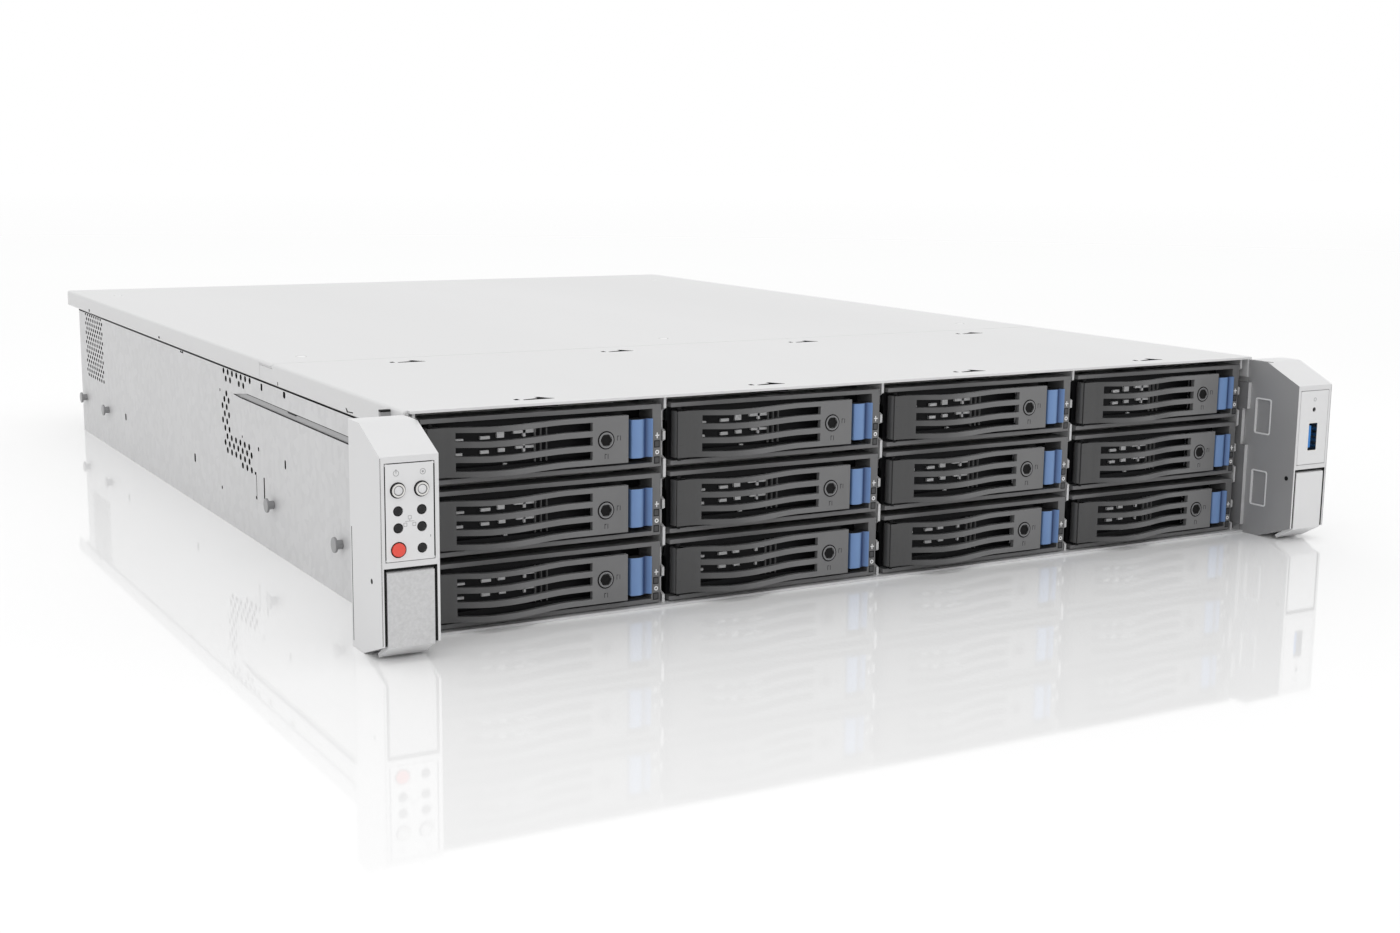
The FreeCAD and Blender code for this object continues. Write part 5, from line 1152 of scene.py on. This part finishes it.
# ---- port panel with its socket
usb = {"wide": 6.6, "low": 44.4, "high": 58.6, "skin": 0.5, "lamp": 64.7, "mark": 69.6}
x = ear["middle"]
left, right, skin = x - usb["wide"] / 2, x + usb["wide"] / 2, usb["skin"]
mouth = roundedLoop((left, usb["low"]), (right, usb["high"]), 0.5)
inner = roundedLoop((left + skin, usb["low"] + skin), (right - skin, usb["high"] - skin), 0.4)
loops = [roundedLoop((x - wide / 2, low), (x + wide / 2, high), 0.6), mouth,
         circleLoop(x, usb["lamp"], 1.1, 20)]
bm = bmesh.new()
addMesh(bm, perforatedSheet("portSheet", loops, [], 1.2, panelPaint), rearWall(-31.8))
addMesh(bm, perforatedSheet("usbShell", [mouth, inner], [], 13, nickel), rearWall(-20), 1)
addBox(bm, (left + skin, -20, usb["low"] + skin), (right - skin, -19.4, usb["high"] - skin), 3)
addBox(bm, (x - 2.4, -32.2, 46.2), (x - 0.4, -20, 56.8), 2)                   # tongue and its contacts
for k in range(4):
    addBox(bm, (x - 0.4, -31.6, 47.2 + 2.5 * k), (x - 0.25, -21, 48.6 + 2.5 * k), 1)
addRound(bm, (x, -31.9, usb["lamp"]), (0, -1, 0), 1.2, [(0, 1.0), (0.9, 0.9), (1.2, 0.5)], 16, 3)
addRing(bm, (x + 0.2, ear["face"], usb["mark"]), (0, -1, 0), 0.05, 0.9, 0.68, 16, 4)
settle("portPanel", bm, [panelPaint, nickel, usbBlue, lampDark, inkGrey], "chassis", ["port_panel"], smooth=30)
print("ears done")

# ---- floor, light and camera
bm = bmesh.new()
addBox(bm, (-9000, -9000, -12), (9000, 9000, -0.05))
floor = bpy.data.objects.new("floor", bpy.data.meshes.new("floor"))
bm.to_mesh(floor.data)
bm.free()
floor.data.transform(Matrix.Scale(mm, 4))
scene.collection.objects.link(floor)
paper, tree, shader = newFinish("floorPaper")
shader.inputs["Base Color"].default_value = (0.96, 0.96, 0.96, 1)
shader.inputs["Roughness"].default_value = 0.04
shader.inputs["Specular IOR Level"].default_value = 0.4
floor.data.materials.append(paper)

world = bpy.data.worlds.new("studio")
scene.world = world
world.use_nodes = True
tree = world.node_tree
for extra in list(tree.nodes):
    tree.nodes.remove(extra)
seen = node(tree, "ShaderNodeLightPath").outputs
clear = reckon(tree, "MAXIMUM", reckon(tree, "MAXIMUM", seen["Is Camera Ray"], seen["Is Glossy Ray"]),
               seen["Is Transmission Ray"])
strength = node(tree, "ShaderNodeMapRange", Value=clear, To_Min=0.92, To_Max=1.0)
sky = node(tree, "ShaderNodeBackground", Color=(1, 1, 1, 1), Strength=strength.outputs["Result"])
node(tree, "ShaderNodeOutputWorld", Surface=sky.outputs["Background"])


def softLight(name, place, aim, size, power):
    data = bpy.data.lights.new(name, "AREA")
    data.shape = "RECTANGLE"
    data.size, data.size_y = size
    data.energy = power
    lamp = bpy.data.objects.new(name, data)
    lamp.location = place
    lamp.rotation_mode = "QUATERNION"
    lamp.rotation_quaternion = (Vector(aim) - Vector(place)).to_track_quat("-Z", "Y")
    scene.collection.objects.link(lamp)


softLight("overhead", (-0.2, 0.1, 2.2), (0, 0.2, 0), (2.6, 2.2), 9)
softLight("frontLeft", (-1.5, -1.9, 1.0), (0, 0.1, 0.05), (1.6, 1.2), 3)

view = {"azimuth": 30.03, "down": 9.93, "roll": 0.68, "place": (-0.4617, -0.6404, 0.1860), "lens": 47.06}
lens = bpy.data.cameras.new("camera")
lens.lens = view["lens"]
lens.sensor_width = 36
lens.clip_start = 0.01
camera = bpy.data.objects.new("camera", lens)
az, down = math.radians(view["azimuth"]), math.radians(view["down"])
ahead = Vector((math.sin(az) * math.cos(down), math.cos(az) * math.cos(down), -math.sin(down)))
camera.location = view["place"]
camera.rotation_mode = "QUATERNION"
roll = Quaternion((0, 0, 1), math.radians(view["roll"]))
camera.rotation_quaternion = ahead.to_track_quat("-Z", "Y") @ roll
scene.collection.objects.link(camera)
scene.camera = camera
scene.view_settings.view_transform = "Standard"
print("stage ready")
